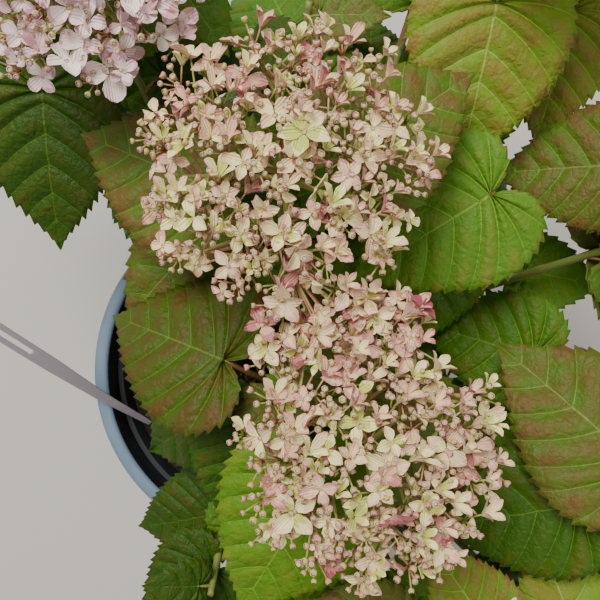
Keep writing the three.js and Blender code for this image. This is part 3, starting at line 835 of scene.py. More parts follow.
def bark_material():
    """Pale brown bark with long dark streaks."""
    material, tree, shader = new_material("cane bark", (0.55, 0.45, 0.3), 0.75)
    stretch = add_node(tree, "ShaderNodeMapping", Scale=(1, 1, 0.12))
    tree.links.new(object_place(tree), stretch.inputs["Vector"])
    streaks = noise_on(tree, stretch.outputs["Vector"], 700, 5)
    two_tone(tree, shader, streaks, 0.35, (0.34, 0.27, 0.17), 0.65, (0.64, 0.54, 0.38))
    raise_surface(tree, shader, streaks, 0.7, 0.0006)
    return material


def clouded_material(name, colour, roughness, clouds, tones, grain, shine=None):
    """Soft clouds of two tones, which may also set the shine, and a fine grain: its scale, its strength."""
    material, tree, shader = new_material(name, colour, roughness)
    place = object_place(tree)
    cloud = noise_on(tree, place, *clouds)
    two_tone(tree, shader, cloud, *tones)
    if shine:
        tree.links.new(ranged(tree, cloud, *shine), shader.inputs["Roughness"])
    scale, strength = grain
    raise_surface(tree, shader, noise_on(tree, place, scale), strength, 0.0003)
    return material


def pot_materials():
    """Moulded grey-blue plastic with faint water marks, and the inside wall in painted shade, dark and
    softly clouded.
    """
    marks = (0.3, (0.42, 0.51, 0.6), 0.8, (0.48, 0.57, 0.65))
    painted_shade_tones = (0.35, (0.07, 0.08, 0.08), 0.7, (0.15, 0.18, 0.2))
    # The inner colour and its tones are painted shade: the inside is the same plastic as the outside.
    outer, inner = (0.5, 0.6, 0.7), (0.2, 0.24, 0.26)
    yield clouded_material("grey-blue plastic", outer, 0.4, (18, 6), marks, (420, 0.12), shine=(0.34, 0.62))
    yield clouded_material("shaded inner wall", inner, 0.5, (30, 5), painted_shade_tones, (500, 0.2))


def compost_material(name, dark, light):
    material, tree, shader = new_material(name, light, 0.95)
    grain = noise_on(tree, object_place(tree), 260, 6)
    two_tone(tree, shader, grain, 0.35, dark, 0.7, light)
    raise_surface(tree, shader, grain, 0.9, 0.0015)
    return material


def label_material():
    """Off-white plastic, a little weathered."""
    material, tree, shader = new_material("white label plastic", (0.7, 0.67, 0.71), 0.35)
    specks = noise_on(tree, object_place(tree), 300, 4)
    tree.links.new(ranged(tree, specks, 0.28, 0.5), shader.inputs["Roughness"])
    raise_surface(tree, shader, specks, 0.08, 0.0003)
    return material


def leaf_palette():
    """All leaf materials, and the number of the first one of each tint. The underside comes last."""
    materials = []
    first = {}
    for name, (green, bronze, vein) in LEAF_TINTS.items():
        first[name] = len(materials)
        for level in range(TINT_LEVELS):
            colour = blend_tone(green, bronze, level / (TINT_LEVELS - 1))
            materials.append(leaf_material(f"{name} leaf {level + 1}", colour))
        materials.append(leaf_material(f"{name} leaf veins", vein, 0.45))
    materials.append(leaf_material("leaf underside", UNDERSIDE, 0.62))
    return materials, first


# The finished leaf blade.
def smooth_outline():
    """Points all along the half outline and the share of its run at each, on a curve through its corners."""
    corners = np.array(BLADE_OUTLINE, float)
    before = 2 * corners[0] - corners[1]
    beyond = 2 * corners[-1] - corners[-2]
    padded = np.vstack([before, corners, beyond])
    samples = []
    for a, b, c, d in zip(padded, padded[1:], padded[2:], padded[3:]):
        for t in np.linspace(0, 1, 16, endpoint=False):
            curve = 2 * b + (c - a) * t + (2 * a - 5 * b + 4 * c - d) * t**2 + (3 * b - a - 3 * c + d) * t**3
            samples.append(0.5 * curve)
    samples = np.array([*samples, corners[-1]])
    run = np.concatenate([[0], np.cumsum(np.linalg.norm(np.diff(samples, axis=0), axis=1))])
    return samples, run / run[-1]


OUTLINE_POINTS, OUTLINE_SHARES = smooth_outline()


def outline_point(share):
    return point(*(np.interp(share, OUTLINE_SHARES, values) for values in OUTLINE_POINTS.T))


def margin_point(share, tooth):
    """A point of the margin, pushed out and a little forward by the tooth's height there."""
    here = outline_point(share)
    ahead = unit(outline_point(share + 0.01) - here + point(1e-6, 0))
    outward = point(-ahead[1], ahead[0])
    depth = min(1, 6 * (1 - share), 4 * share) * tooth
    return here + depth * (outward + 0.6 * ahead)


def midrib_half(x):
    return MIDRIB_WIDTH * max(0.12, 1 - 0.85 * x)


def vein_start(share):
    """Where the vein that ends at this share of the margin leaves the midrib."""
    x, y = margin_point(share, 0)
    fan = VEIN_FAN + VEIN_FAN * share
    return max(fan, x - VEIN_SLOPE * y)


# A row from midrib to margin, how far it is across its panel, and whether a vein follows it.
BladeRow = namedtuple("BladeRow", "line across_panel is_vein")


class BladePattern:
    """A blade's mesh in its own flat measures, shared by all leaves of a kind."""

    def __init__(self, teeth, vein_teeth, tooth_depth, steps):
        self.teeth = teeth
        self.vein_teeth = vein_teeth
        self.tooth_depth = tooth_depth
        self.panels = len(vein_teeth) + 1
        self.along_row = np.linspace(0, 1, steps + 1)
        rows = self.half_rows()
        swell = np.sin(math.pi * np.array([row.across_panel for row in rows]))
        self.set_points(np.array([row.line for row in rows]), swell)
        cells = grid_triangles(len(rows), steps + 1)[:, ::-1]
        self.set_faces(cells, len(rows), steps + 1)
        self.set_face_measures(cells, rows, swell)

    def vein_edges(self, share):
        """The two edges of a side vein as rows of points from the midrib out to its tooth."""
        u = self.along_row[:, None]
        start_x = vein_start(share)
        start = point(start_x, midrib_half(start_x))
        end = margin_point(share, self.tooth_depth)
        bow = point(VEIN_BOW, 0) * min(1, 2.2 * share) * u * (1 - u) * end[1] * 2
        centre = between(start, end, u) + bow
        ahead = np.gradient(centre, axis=0)
        ahead /= np.linalg.norm(ahead, axis=1)[:, None]
        outward = np.stack([ahead[:, 1], -ahead[:, 0]], 1)
        reach = VEIN_WIDTH * (1 - 0.8 * u)
        return centre - outward * reach, centre + outward * reach

    def tooth_corners(self, teeth, low, high):
        """Corners of the margin well between two shares of it, each as its share and height."""
        for tooth in teeth:
            for at, height in TOOTH_PROFILE:
                share = (tooth + at) / self.teeth
                if low + CORNER_GAP < share < high - CORNER_GAP:
                    yield share, height

    def panel_rows(self, first_edge, last_edge, first_share, last_share, teeth):
        """Rows between two veins: straight from midrib to margin, drawn out to the margin's own line."""
        u = self.along_row[:, None]
        for share, height in self.tooth_corners(teeth, first_share, last_share):
            across = (share - first_share) / (last_share - first_share)
            line = between(first_edge, last_edge, across)
            line = line + u**2 * (margin_point(share, height * self.tooth_depth) - line[-1])
            yield BladeRow(line, across, False)

    def half_rows(self):
        """One half of the blade, from the stalk to the tip: its panels with a vein between each two."""
        steps = len(self.along_row)
        x_first, x_last = MIDRIB_RUN
        first = np.stack([np.linspace(x_first, 0.03, steps), np.full(steps, midrib_half(x_first))], 1)
        last = np.stack([np.linspace(x_last, 1, steps), np.linspace(midrib_half(x_last), 0, steps)], 1)
        rows = [BladeRow(first, 0.0, False)]
        edge, edge_share, next_tooth = first, 0.0, 0
        for tooth in self.vein_teeth:
            share = (tooth + TOOTH_TIP) / self.teeth
            low, high = self.vein_edges(share)
            rows += self.panel_rows(edge, low, edge_share, share, range(next_tooth, tooth + 1))
            rows += [BladeRow(low, 1.0, True), BladeRow(high, 0.0, False)]
            edge, edge_share, next_tooth = high, share, tooth + 1
        rows += self.panel_rows(edge, last, edge_share, 1.0, range(next_tooth, self.teeth))
        return [*rows, BladeRow(last, 1.0, False)]

    def set_points(self, lines, swell):
        """Points of both halves, with how far out each is and how far it puffs up between veins."""
        x, y = lines[:, :, 0].ravel(), lines[:, :, 1].ravel()
        self.x = np.tile(x, 2)
        self.y = np.concatenate([y, -y])
        self.out = np.tile(self.along_row, 2 * len(lines))
        fade = np.sin(math.pi * (0.12 + 0.82 * self.along_row)) ** 0.6
        room = np.clip(lines[:, -1, 1] / 0.25, 0.15, 1)
        self.puff = np.tile((np.outer(swell**0.7 * room, fade) - VEIN_SINK).ravel(), 2)

    def set_faces(self, cells, rows, columns):
        """Both halves with the midrib between them, the same again for the underside, and the rim."""
        half = rows * columns
        all_points = 2 * half
        midrib = np.arange(rows) * columns
        margin = midrib + columns - 1
        base = np.arange(columns)
        tip = base + half - columns
        ribs = [strip_triangles(edge, edge + half)[:, ::-1] for edge in (midrib, tip)]
        upper = np.concatenate([cells, cells[:, ::-1] + half, *ribs])

        def rim(edge):
            return strip_triangles(edge, edge + all_points)

        rims = [rim(margin), rim(margin + half)[:, ::-1], rim(base)[:, ::-1], rim(base + half)]
        self.upper_count = len(upper)
        self.faces = np.concatenate([upper, upper[:, ::-1] + all_points, *rims])

    def set_face_measures(self, cells, rows, swell):
        """Of each face of the two upper halves: its middle, panel, way out, way from a vein."""
        columns = len(self.along_row)
        row_of = (cells // columns).min(axis=1)
        vein_rows = np.array([row.is_vein for row in rows])
        panel = np.cumsum([False, *vein_rows[:-1]])[row_of]
        halves = self.faces[:2 * len(cells)]
        self.middle_x = self.x[halves].mean(axis=1)
        self.middle_y = self.y[halves].mean(axis=1)
        self.panel_of = np.concatenate([panel, panel + self.panels])
        self.way_out = np.tile(self.out[cells].mean(axis=1), 2)
        self.from_vein = np.tile(np.repeat(swell, columns)[cells].mean(axis=1), 2)
        self.on_vein = np.tile(vein_rows[row_of], 2)


def add_leaf(joined, pattern, leaf, first_slot, underside, level):
    """Both faces of a leaf with its rim. Level says how far the whole leaf has turned to bronze."""
    series = leaf.series("leaf surface")
    waves = ripple(series, *RUFFLE_WAVES)
    patches = ripple(series, *BLOTCH_WAVES)
    panel_turn = np.array([series.spread(PANEL_TURN_SPREAD) for _ in range(2 * pattern.panels)])
    x, y, puff = pattern.x, pattern.y, pattern.puff
    ruffle = FULL_RUFFLE if leaf.is_full else YOUNG_RUFFLE
    lift = puff * PANEL_PUFF + ruffle * waves(x, y) * pattern.out**1.5
    ridge = 0.5 * np.minimum(0, puff) * PANEL_PUFF
    points = np.vstack([leaf.place(x, y, lift), leaf.place(x, y, lift - SKIN + ridge)])
    blotches = patches(pattern.middle_x, pattern.middle_y) * (0.5 + pattern.way_out)
    turned = level + MARGIN_TURN * pattern.way_out**3 + blotches
    turned = turned + MIDDLE_TURN * (pattern.from_vein - 0.6) + panel_turn[pattern.panel_of]
    tinted = first_slot + np.clip(np.round(turned), 0, TINT_LEVELS - 1).astype(int)
    vein_slot = first_slot + TINT_LEVELS
    slots = np.full(len(pattern.faces), vein_slot)
    slots[:len(tinted)] = np.where(pattern.on_vein, vein_slot, tinted)
    slots[pattern.upper_count:2 * pattern.upper_count] = underside
    places = np.stack([x, y], 1) * leaf.length + point(leaf.shoot, leaf.pair) * SKIN_SHIFT
    joined.add(points, pattern.faces, slots, np.vstack([places, places]))


def leaf_tint(leaf, series):
    """Leaves that show keep their own tint, the others draw one."""
    if leaf.key in SHOWN:
        return SHOWN[leaf.key][3]
    if leaf.key in SEEN_TINTS:
        return SEEN_TINTS[leaf.key]
    return TINT_CHANCES[min(leaf.pair, FULL_PAIRS)][int(series.next() * 4)]


def build_leaves(leaves):
    materials, first_slots = leaf_palette()
    underside = len(materials) - 1
    full = BladePattern(teeth=24, vein_teeth=[2, 5, 8, 11, 13, 15, 17, 19, 21], tooth_depth=0.029, steps=7)
    small = BladePattern(teeth=13, vein_teeth=[2, 4, 6, 8, 10], tooth_depth=0.04, steps=3)
    groups = {name: Joined() for name in ("top_leaves", "middle_leaves", "low_leaves", "young_leaves")}
    for leaf in leaves:
        series = leaf.series("leaf tint")
        tint = leaf_tint(leaf, series)
        level = TINT_TURNED.get(tint, 0) + series.spread(LEAF_TURN_SPREAD)
        group = list(groups.values())[min(leaf.pair, FULL_PAIRS)]
        add_leaf(group, full if leaf.is_full else small, leaf, first_slots[tint], underside, level)
    replaced = [f"leaves_{i + 1}" for i in range(len(SHOOTS))]
    for name, group in groups.items():
        group.finish(name, materials, "foliage", replaced if name == "top_leaves" else ())


# Stems, stalks and canes.
def build_stems(leaves):
    """Green stems with a slight knee at each pair, and a stalk from the stem into each blade."""
    joined = Joined()
    first = CANE_SHARE + 0.002
    steps = 44
    t = np.linspace(first, 1, steps + 1)
    knees = sum(np.exp(-((t - at) / KNEE_WIDTH) ** 2) for at in PAIR_AT[:FULL_PAIRS])
    radii = np.interp(t, [first, 1], STEM_RADII) * (1 + KNEE_SWELL * knees)
    for shoot in SHOOTS:
        joined.add(*tube(shoot_line(shoot, first, 1, steps), radii, 9), 0)
    for leaf in leaves:
        rise = 0.1 * float(np.linalg.norm(leaf.foot - leaf.root))
        neck = leaf.place(0.02, 0.0, -0.012)
        inside = leaf.place(0.12, 0.0, -0.006)
        path = np.vstack([arc(leaf.root, neck, rise, 9), inside])
        thick = PETIOLE_RADIUS * (1 if leaf.is_full else 0.6)
        radii = np.linspace(thick * 1.25, thick * 0.72, len(path))
        radii[-1] *= 0.5
        is_reddish = (leaf.shoot + leaf.side) % 3 == 0
        joined.add(*tube(path, radii, 7), 1 if is_reddish else 0)
    materials = [stalk_material(name, colour) for name, colour in STEM_TONES.items()]
    joined.finish("stems_and_leaf_stalks", materials, "foliage")


def bark_relief(series, heights, sides):
    """Ridges that wind up the cane, faint rings, and one swollen old leaf mark."""
    heights = heights[:, None]
    angles = angles_round(sides)[None, :]
    relief = np.ones((len(heights), sides))
    for count in (3, 5, 7):
        phase, twist = series.next() * 6.28, series.spread(3)
        relief += 0.035 * np.sin(count * angles + twist * heights + phase)
    relief += 0.03 * np.sin(heights * (70 + series.spread(12)) + angles * 2)
    return relief + 0.16 * np.exp(-((heights - 0.62) / 0.02) ** 2)


def build_canes():
    """Woody canes with ridged bark and a swelling at the foot, set a little into the compost."""
    joined = Joined()
    sides = 14
    for number, shoot in enumerate(SHOOTS):
        foot = shoot_point(shoot, 0)
        line = shoot_line(shoot, 0.07, CANE_SHARE, 30)
        path = np.vstack([foot - point(0, 0, 4), foot, foot + point(0, 0, CANE_FOOT_RISE), line])
        heights = np.linspace(0, 1, len(path))
        relief = bark_relief(Series(SEEDS["cane"] + number), heights, sides)
        radii = np.interp(heights, [0, 0.1, 1], [CANE_RADII[0] * 1.12, *CANE_RADII])
        joined.add(*tube(path, radii, sides, relief), 0)
    joined.finish("canes", [bark_material()], "cane", [f"cane_{i + 1}" for i in range(len(SHOOTS))])


# Flower heads.
Floret = namedtuple("Floret", "centre lean radius spin sepals share turn")


class SepalPattern:
    """A pointed oval petal-like sepal of length 1, with two faces that meet at its edge."""

    def __init__(self, half_widths):
        across = np.tile(np.linspace(-1, 1, SEPAL_COLUMNS), len(SEPAL_STATIONS))
        self.x = np.repeat(SEPAL_STATIONS, SEPAL_COLUMNS)
        self.y = across * np.repeat(half_widths, SEPAL_COLUMNS)
        at_tip = self.x > 0.99
        self.thickness = np.where((np.abs(across) > 0.9) | at_tip, 0.0, SEPAL_THICKNESS)
        face = grid_triangles(len(SEPAL_STATIONS), SEPAL_COLUMNS)[:, ::-1]
        face = face[at_tip[face].sum(axis=1) < 2]
        way_out = self.x[face].mean(axis=1)
        self.blush = 1.5 * way_out**2 + np.abs(across[face]).mean(axis=1) * way_out
        self.faces = np.concatenate([face, face[:, ::-1] + len(self.x)])

    def rise(self, cup, series):
        """How a sepal lifts: cupped along its length, keeled across it, twisted and a little wavy."""
        x, y = self.x, self.y
        fold = cup + series.spread(0.16)
        twist = series.spread(0.45)
        keel = 0.15 + 0.75 * series.next()
        lift = 0.06 + fold * x - 0.35 * fold * x * x + keel * np.abs(y) + 0.4 * y * y + twist * y * x
        return lift - 0.03 * np.sin(x * 5 + series.next() * 6)


def bud_shape():
    """A closed bud of radius 1: its points, its triangles and their colours in the set of three."""
    angles = angles_round(BUD_SIDES)
    rings = [
        np.stack([radius * np.cos(angles), radius * np.sin(angles), np.full(BUD_SIDES, height)], 1)
        for radius, height in BUD_PROFILE
    ]
    ends = [point(0, 0, height) for height in BUD_ENDS]
    triangles = closed_tube_triangles(len(BUD_PROFILE), BUD_SIDES)
    ring_of = triangles[:-2 * BUD_SIDES].min(axis=1) // BUD_SIDES
    slots = np.select([ring_of < 2, ring_of == 2], [0, 1], 2)
    end_slots = np.repeat([0, 1], BUD_SIDES)
    return np.vstack([*rings, *ends]), triangles, np.concatenate([slots, end_slots])


BUD_SHAPE = bud_shape()


def axes_for(normal):
    """Three directions at right angles to each other, the last one the given one."""
    side = unit(np.cross(normal, point(1, 0, 0) if abs(normal[0]) < 0.8 else point(0, 1, 0)))
    return side, np.cross(normal, side), normal


def leaning(turn, lean):
    """The direction that leans so far from upright, toward the turn."""
    return point(math.sin(lean) * math.cos(turn), math.sin(lean) * math.sin(turn), math.cos(lean))


class FlowerHead:
    """A flower head while it grows, and the meshes that its florets, buds and stalks go into."""

    def __init__(self, index, flowers, buds, stalks):
        self.index = index
        self.shoot = SHOOTS[index]
        self.is_pale = index == PALE_HEAD
        self.sepal = SepalPattern(ROUND_SEPAL if self.is_pale else POINTED_SEPAL)
        self.flowers = flowers
        self.buds = buds
        self.stalks = stalks
        self.hub = between(shoot_point(self.shoot, 1), self.over_dome(0, 0, HUB_DROP), 0.9)
        self.rays = self.find_rays()

    def over_dome(self, share, turn, drop, inset=0):
        """A point this share of the way out from the middle to the rim, and so far below the top."""
        x, y, top = self.shoot.top
        reach = (self.shoot.head - inset) * share
        return point(x + reach * math.cos(turn), y + reach * math.sin(turn), top - drop)

    def find_rays(self):
        """Rays leave the hub like the ribs of an umbrella, with one straight up in the middle."""
        series = head_series("ray", self.index)
        rays = [(0.0, [self.hub, self.over_dome(0, 0, MIDDLE_RAY_DROP)])]
        first = series.next() * math.pi
        for i in range(RAY_COUNT):
            turn = first + 2 * math.pi * i / RAY_COUNT + math.radians(series.spread(RAY_TURN_SPREAD))
            bends = [self.over_dome(share, turn, drop) for share, drop in RAY_BENDS]
            rays.append((turn, [self.hub, *bends]))
        return rays

    def dome_florets(self):
        """Florets on a spiral over the dome, as in the solids. Every third one is larger."""
        series = head_series("floret place", self.index)
        for k in range(FLORET_COUNT):
            share = math.sqrt((k + 0.5) / FLORET_COUNT)
            turn = math.radians(SPIRAL_TURN * k + series.spread(FLORET_TURN_SPREAD))
            drop = DOME_DROP * share * share + series.spread(DROP_SPREAD)
            lean = math.radians(FLORET_LEAN * share + series.spread(FLORET_LEAN_SPREAD))
            radius = FLORET_RADIUS * (1 + series.spread(FLORET_SPREAD))
            radius *= SMALL_FLORET if k % FLORET_STEP else LARGE_FLORET
            spin = series.next() * math.pi
            sepals = 3 if series.next() < THREE_SEPAL_CHANCE else 4
            centre = self.over_dome(share, turn, drop, inset=FLORET_RADIUS * 0.6)
            yield Floret(centre, lean, radius, spin, sepals, share, turn)

    def reaching_florets(self):
        """Florets on the longest stalks, where two heads grow toward each other."""
        middle, half, count = REACHING.get(self.index, (0, 0, 0))
        series = head_series("reaching floret", self.index)
        for _ in range(count):
            turn = math.radians(middle + series.spread(half))
            share = REACHING_FROM + REACHING_BY * series.next()
            radius = FLORET_RADIUS * (1 + series.spread(FLORET_SPREAD))
            spin = series.next() * math.pi
            centre = self.over_dome(share, turn, DOME_DROP + series.spread(4))
            yield Floret(centre, math.radians(REACHING_LEAN), radius, spin, 4, share, turn)

    def stalk_root(self, share, turn):
        """A stalk leaves the ray that points its way, or the middle one near the middle."""
        if share < 0.3:
            return line_point(self.rays[0][1], 0.45 + share)

        def away(ray):
            return abs(math.atan2(math.sin(ray[0] - turn), math.cos(ray[0] - turn)))

        return line_point(min(self.rays[1:], key=away)[1], min(0.96, 0.2 + 0.9 * share))

    def bunches(self, series):
        """For each bunch of buds: where its branch leaves the ray, its knot, how far out, its turn."""
        bunches = BUNCHES_PER_RAY[self.index]
        for (number, (ray_turn, line)), branch in product(enumerate(self.rays), range(bunches)):
            if number:
                share = BUNCHES_FROM + BUNCHES_BY * (branch + 0.5 + series.spread(0.4)) / bunches
                aside = BUNCH_ASIDE if branch % 2 else -BUNCH_ASIDE
                turn = ray_turn + aside + series.spread(0.14)
                start = line_point(line, min(0.97, 0.25 + 0.72 * share))
            else:
                share = 0.16 + series.spread(0.07)
                turn = branch * math.pi / 2 + series.spread(0.4)
                start = line_point(line, 0.35 + 0.5 * branch / bunches)
            drop = DOME_DROP * share * share + BUNCH_DROP + series.spread(DROP_SPREAD)
            yield start, self.over_dome(share, turn, drop), share, turn
        for floret in list(self.reaching_florets())[::2]:
            share = floret.share - 0.08
            knot_turn = floret.turn + series.spread(0.1)
            knot = self.over_dome(share, knot_turn, DOME_DROP + REACHING_BUNCH_DROP)
            yield self.stalk_root(share, floret.turn), knot, share, floret.turn

    def add_stalk(self, path, radii, sides, shade):
        self.stalks.add(*tube(path, np.linspace(*radii, len(path)), sides), shade)

    def add_bud(self, centre, normal, radius, is_warm):
        points, triangles, slots = BUD_SHAPE
        turned = points @ np.stack(axes_for(normal)) * radius
        self.buds.add(centre + turned, triangles, slots + (3 if is_warm else 0))

    def add_floret(self, centre, axes, radius, spin, sepals, level, series, cup=OPEN_CUP):
        """A floret: sepals round a small closed bud, each cupped or swept back a little."""
        sepal = self.sepal
        side, up, normal = axes
        first_tone, last_tone = PALE_TONES if self.is_pale else WARM_TONES
        cup += series.spread(0.34)
        for i in range(sepals):
            angle = spin + 2 * math.pi * i / sepals + series.spread(0.12)
            out = side * math.cos(angle) + up * math.sin(angle)
            across = np.cross(normal, out)
            length = radius * (1.0 + series.spread(0.14))
            rise = sepal.rise(cup, series)
            shape = np.outer(0.1 + 0.9 * sepal.x, out) + np.outer(sepal.y, across) + np.outer(rise, normal)
            top = centre + length * shape
            below = top - np.outer(sepal.thickness, normal)
            tint = level + sepal.blush + series.spread(0.6)
            slots = np.clip(np.round(tint), first_tone, last_tone).astype(int)
            slots = np.concatenate([slots, np.minimum(slots + 1, last_tone)])
            places = np.stack([sepal.x, sepal.y], 1) * length
            self.flowers.add(np.vstack([top, below]), sepal.faces, slots, np.vstack([places, places]))

    def floret_level(self, share, series):
        """The number of a floret's main tone. Some are rosier, and so are those near the head's rim."""
        level = 0.5 + series.spread(1.3)
        if series.next() < ROSY_CHANCE:
            level += 1.8
        if self.is_pale:
            return PALE_TONES[0] + 0.2 + series.spread(0.6)
        return level + 0.8 * share

    def grow_rays(self):
        self.add_stalk(arc(shoot_point(self.shoot, 1), self.hub, 0, 6), PEDUNCLE_RADII, 9, 0)
        for _, line in self.rays:
            self.add_stalk([line_point(line, t) for t in np.linspace(0, 1, 9)], RAY_RADII, 7, 0)

    def grow_florets(self):
        series = head_series("floret", self.index)
        for k, floret in enumerate([*self.dome_florets(), *self.reaching_florets()]):
            is_large = k % FLORET_STEP == 0
            if not is_large and series.next() > KEPT_FLORETS[self.index]:
                continue
            lean = floret.lean + 0.12 + series.spread(0.35 if is_large else 0.9)
            axes = axes_for(leaning(floret.turn + series.spread(0.9), lean))
            normal = axes[2]
            sepals = 5 if series.next() < FIVE_SEPAL_CHANCE else floret.sepals
            level = self.floret_level(floret.share, series)
            radius = floret.radius * (1 if self.is_pale else FLORET_SHARE)
            radius *= WIDE_SHARE if series.next() < WIDE_CHANCE else NARROW_SHARE
            self.add_floret(floret.centre, axes, radius, floret.spin, sepals, level, series)
            self.add_bud(floret.centre + normal * 0.5, normal, FLORET_BUD_RADIUS, series.next() < 0.6)
            root = self.stalk_root(floret.share, floret.turn)
            path = arc(root, floret.centre - normal * 0.2, series.spread(1.2) - 0.8, 5)
            self.add_stalk(path, PEDICEL_RADII, 5, int(series.next() * 3))

    def grow_bunches(self):
        """Small bunches of fertile buds on side branches of the rays, under and between the florets."""
        series = head_series("bud bunch", self.index)
        for start, knot, share, turn in self.bunches(series):
            shade = int(series.next() * 3)
            self.add_stalk(arc(start, knot, -1.2, 5), BRANCH_RADII, 6, shade)
            for bud in range(BUDS_PER_BUNCH):
                swing = 2 * math.pi * bud / BUDS_PER_BUNCH + series.spread(0.3)
                lean = math.radians(22 + 48 * series.next()) * (0 if bud == 0 else 1)
                way = unit(leaning(swing, lean) + 0.35 * share * point(math.cos(turn), math.sin(turn), 0))
                tip = knot + way * (BUD_STALK_LENGTH + series.spread(3))
                self.add_stalk(arc(knot, tip, -0.4, 2), BUD_STALK_RADII, 4, shade)
                radius = BUD_RADIUS * (1 + series.spread(0.2))
                if bud == 1:
                    self.add_folded_floret(tip, way, swing, series)
                else:
                    self.add_bud(tip + way * radius * 0.8, way, radius, series.next() < 0.45)

    def add_folded_floret(self, centre, normal, spin, series):
        level = PALE_TONES[0] + 1 if self.is_pale else 1.2 + series.spread(1.6)
        radius = FOLDED_RADIUS * (1 + series.spread(0.25))
        self.add_floret(centre, axes_for(normal), radius, spin, 4, level, series, cup=FOLDED_CUP)


def build_flower_heads():
    middle_florets, outer_florets, buds, stalks = Joined(), Joined(), Joined(), Joined()
    for index in HEADS:
        head = FlowerHead(index, middle_florets if index < MIDDLE_HEADS else outer_florets, buds, stalks)
        head.grow_rays()
        head.grow_florets()
        head.grow_bunches()
    sepal_materials = [petal_material(name, colour) for name, colour in FLOWER_TONES.items()]
    bud_materials = [stalk_material(name, colour) for name, colour in BUD_TONES.items()]
    stalk_materials = [stalk_material(name, colour) for name, colour in HEAD_STALK_TONES.items()]
    nodes = [f"flower_head_{index + 1}" for index in HEADS]
    middle_florets.finish("middle_florets", sepal_materials, "flowers", nodes[:MIDDLE_HEADS])
    outer_florets.finish("outer_florets", sepal_materials, "flowers", nodes[MIDDLE_HEADS:])
    buds.finish("flower_buds", bud_materials, "flowers")
    stalks.finish("flower_stalks", stalk_materials, "flowers")


# The pot, compost and label.
def deselect():
    if bpy.context.mode != "OBJECT":
        bpy.ops.object.mode_set(mode="OBJECT")
    bpy.ops.object.select_all(action="DESELECT")


def turned_piece(name, profile, around):
    """A ring is drawn at the profile's first point and extruded and sized from one point to the next."""
    deselect()
    (radius, height), *steps = profile
    bpy.ops.mesh.primitive_circle_add(
        vertices=around, radius=radius * METRES, fill_type="NGON", location=(0, 0, height * METRES)
    )
    piece = bpy.context.object
    piece.name = name
    piece.data.name = name
    bpy.ops.object.mode_set(mode="EDIT")
    bpy.ops.mesh.select_all(action="SELECT")
    for next_radius, next_height in steps:
        rise = (next_height - height) * METRES
        bpy.ops.mesh.extrude_edges_move(TRANSFORM_OT_translate={"value": (0, 0, rise)})
        share = next_radius / radius
        bpy.ops.transform.resize(value=(share, share, 1))
        radius, height = next_radius, next_height
    bpy.ops.mesh.edge_face_add()
    bpy.ops.mesh.select_all(action="SELECT")
    bpy.ops.mesh.remove_doubles(threshold=0.00001)
    bpy.ops.mesh.normals_make_consistent(inside=False)
    bpy.ops.object.mode_set(mode="OBJECT")
    bpy.ops.object.transform_apply(location=True, rotation=True, scale=True)
    bpy.ops.object.shade_smooth_by_angle(angle=math.radians(40))
    return piece


def wall_radius(height):
    """The pot's inner radius at a height below its step."""
    slope = (POT_RIM_INNER - 1 - POT_STEP_WIDTH - POT_BASE_RADIUS + POT_WALL) / POT_STEP_HEIGHT
    return POT_BASE_RADIUS - POT_WALL + slope * height


def pot_profile():
    """From the foot up the outside, over the rim and down the inside, with small roundings."""
    band_foot = POT_HEIGHT - POT_BAND_HEIGHT
    outer_top = POT_RIM_INNER + POT_WALL
    return [
        (POT_BASE_RADIUS - 9, 0),
        (POT_BASE_RADIUS - 3, 0),
        (POT_BASE_RADIUS - 0.9, 0.9),
        (POT_BASE_RADIUS, 3),
        (wall_radius(60) + POT_WALL, 60),
        (wall_radius(120) + POT_WALL, 120),
        (wall_radius(POT_STEP_HEIGHT - 8) + POT_WALL, POT_STEP_HEIGHT - 8),
        (outer_top - 0.5, POT_STEP_HEIGHT),
        (outer_top, band_foot),
        (POT_RIM_RADIUS - 1.4, band_foot),
        (POT_RIM_RADIUS - 0.4, band_foot + 0.4),
        (POT_RIM_RADIUS, band_foot + 1.5),
        (POT_RIM_RADIUS, POT_HEIGHT - 4),
        (POT_RIM_RADIUS - 0.6, POT_HEIGHT - 1.6),
        (POT_RIM_RADIUS - 2.2, POT_HEIGHT - 0.3),
        (POT_RIM_RADIUS - 4, POT_HEIGHT),
        (POT_RIM_INNER + 2.4, POT_HEIGHT),
        (POT_RIM_INNER + 0.8, POT_HEIGHT - 0.6),
        (POT_RIM_INNER, POT_HEIGHT - 2),
        (POT_RIM_INNER - 0.6, POT_STEP_HEIGHT + 3),
        (POT_RIM_INNER - 1.4, POT_STEP_HEIGHT + 0.6),
        (wall_radius(POT_STEP_HEIGHT) + 0.8, POT_STEP_HEIGHT),
        (wall_radius(POT_STEP_HEIGHT), POT_STEP_HEIGHT - 1.2),
        (wall_radius(120), 120),
        (wall_radius(POT_FLOOR + 2), POT_FLOOR + 2),
        (wall_radius(POT_FLOOR) - 2, POT_FLOOR),
    ]


def build_pot():
    pot = turned_piece("nursery_pot", pot_profile(), 144)
    for material in pot_materials():
        pot.data.materials.append(material)
    inner_limit = (POT_RIM_INNER - 0.3) * METRES
    # Faces of the inside wall and its step that face in or up take the painted shade material.
    for face in pot.data.polygons:
        is_within = math.hypot(face.center.x, face.center.y) < inner_limit
        is_above_floor = face.center.z > POT_FLOOR * METRES
        faces_in = face.normal.x * face.center.x + face.normal.y * face.center.y < 0
        faces_up = face.normal.z > 0.9
        face.material_index = 1 if is_within and is_above_floor and (faces_in or faces_up) else 0
    claim(pot, ["pot"])


def build_compost():
    series = Series(SEEDS["compost"])
    edge = wall_radius(COMPOST_TOP - 2) - COMPOST_CLEARANCE
    build_compost_body(series, edge)
    build_crumbs(series, edge)


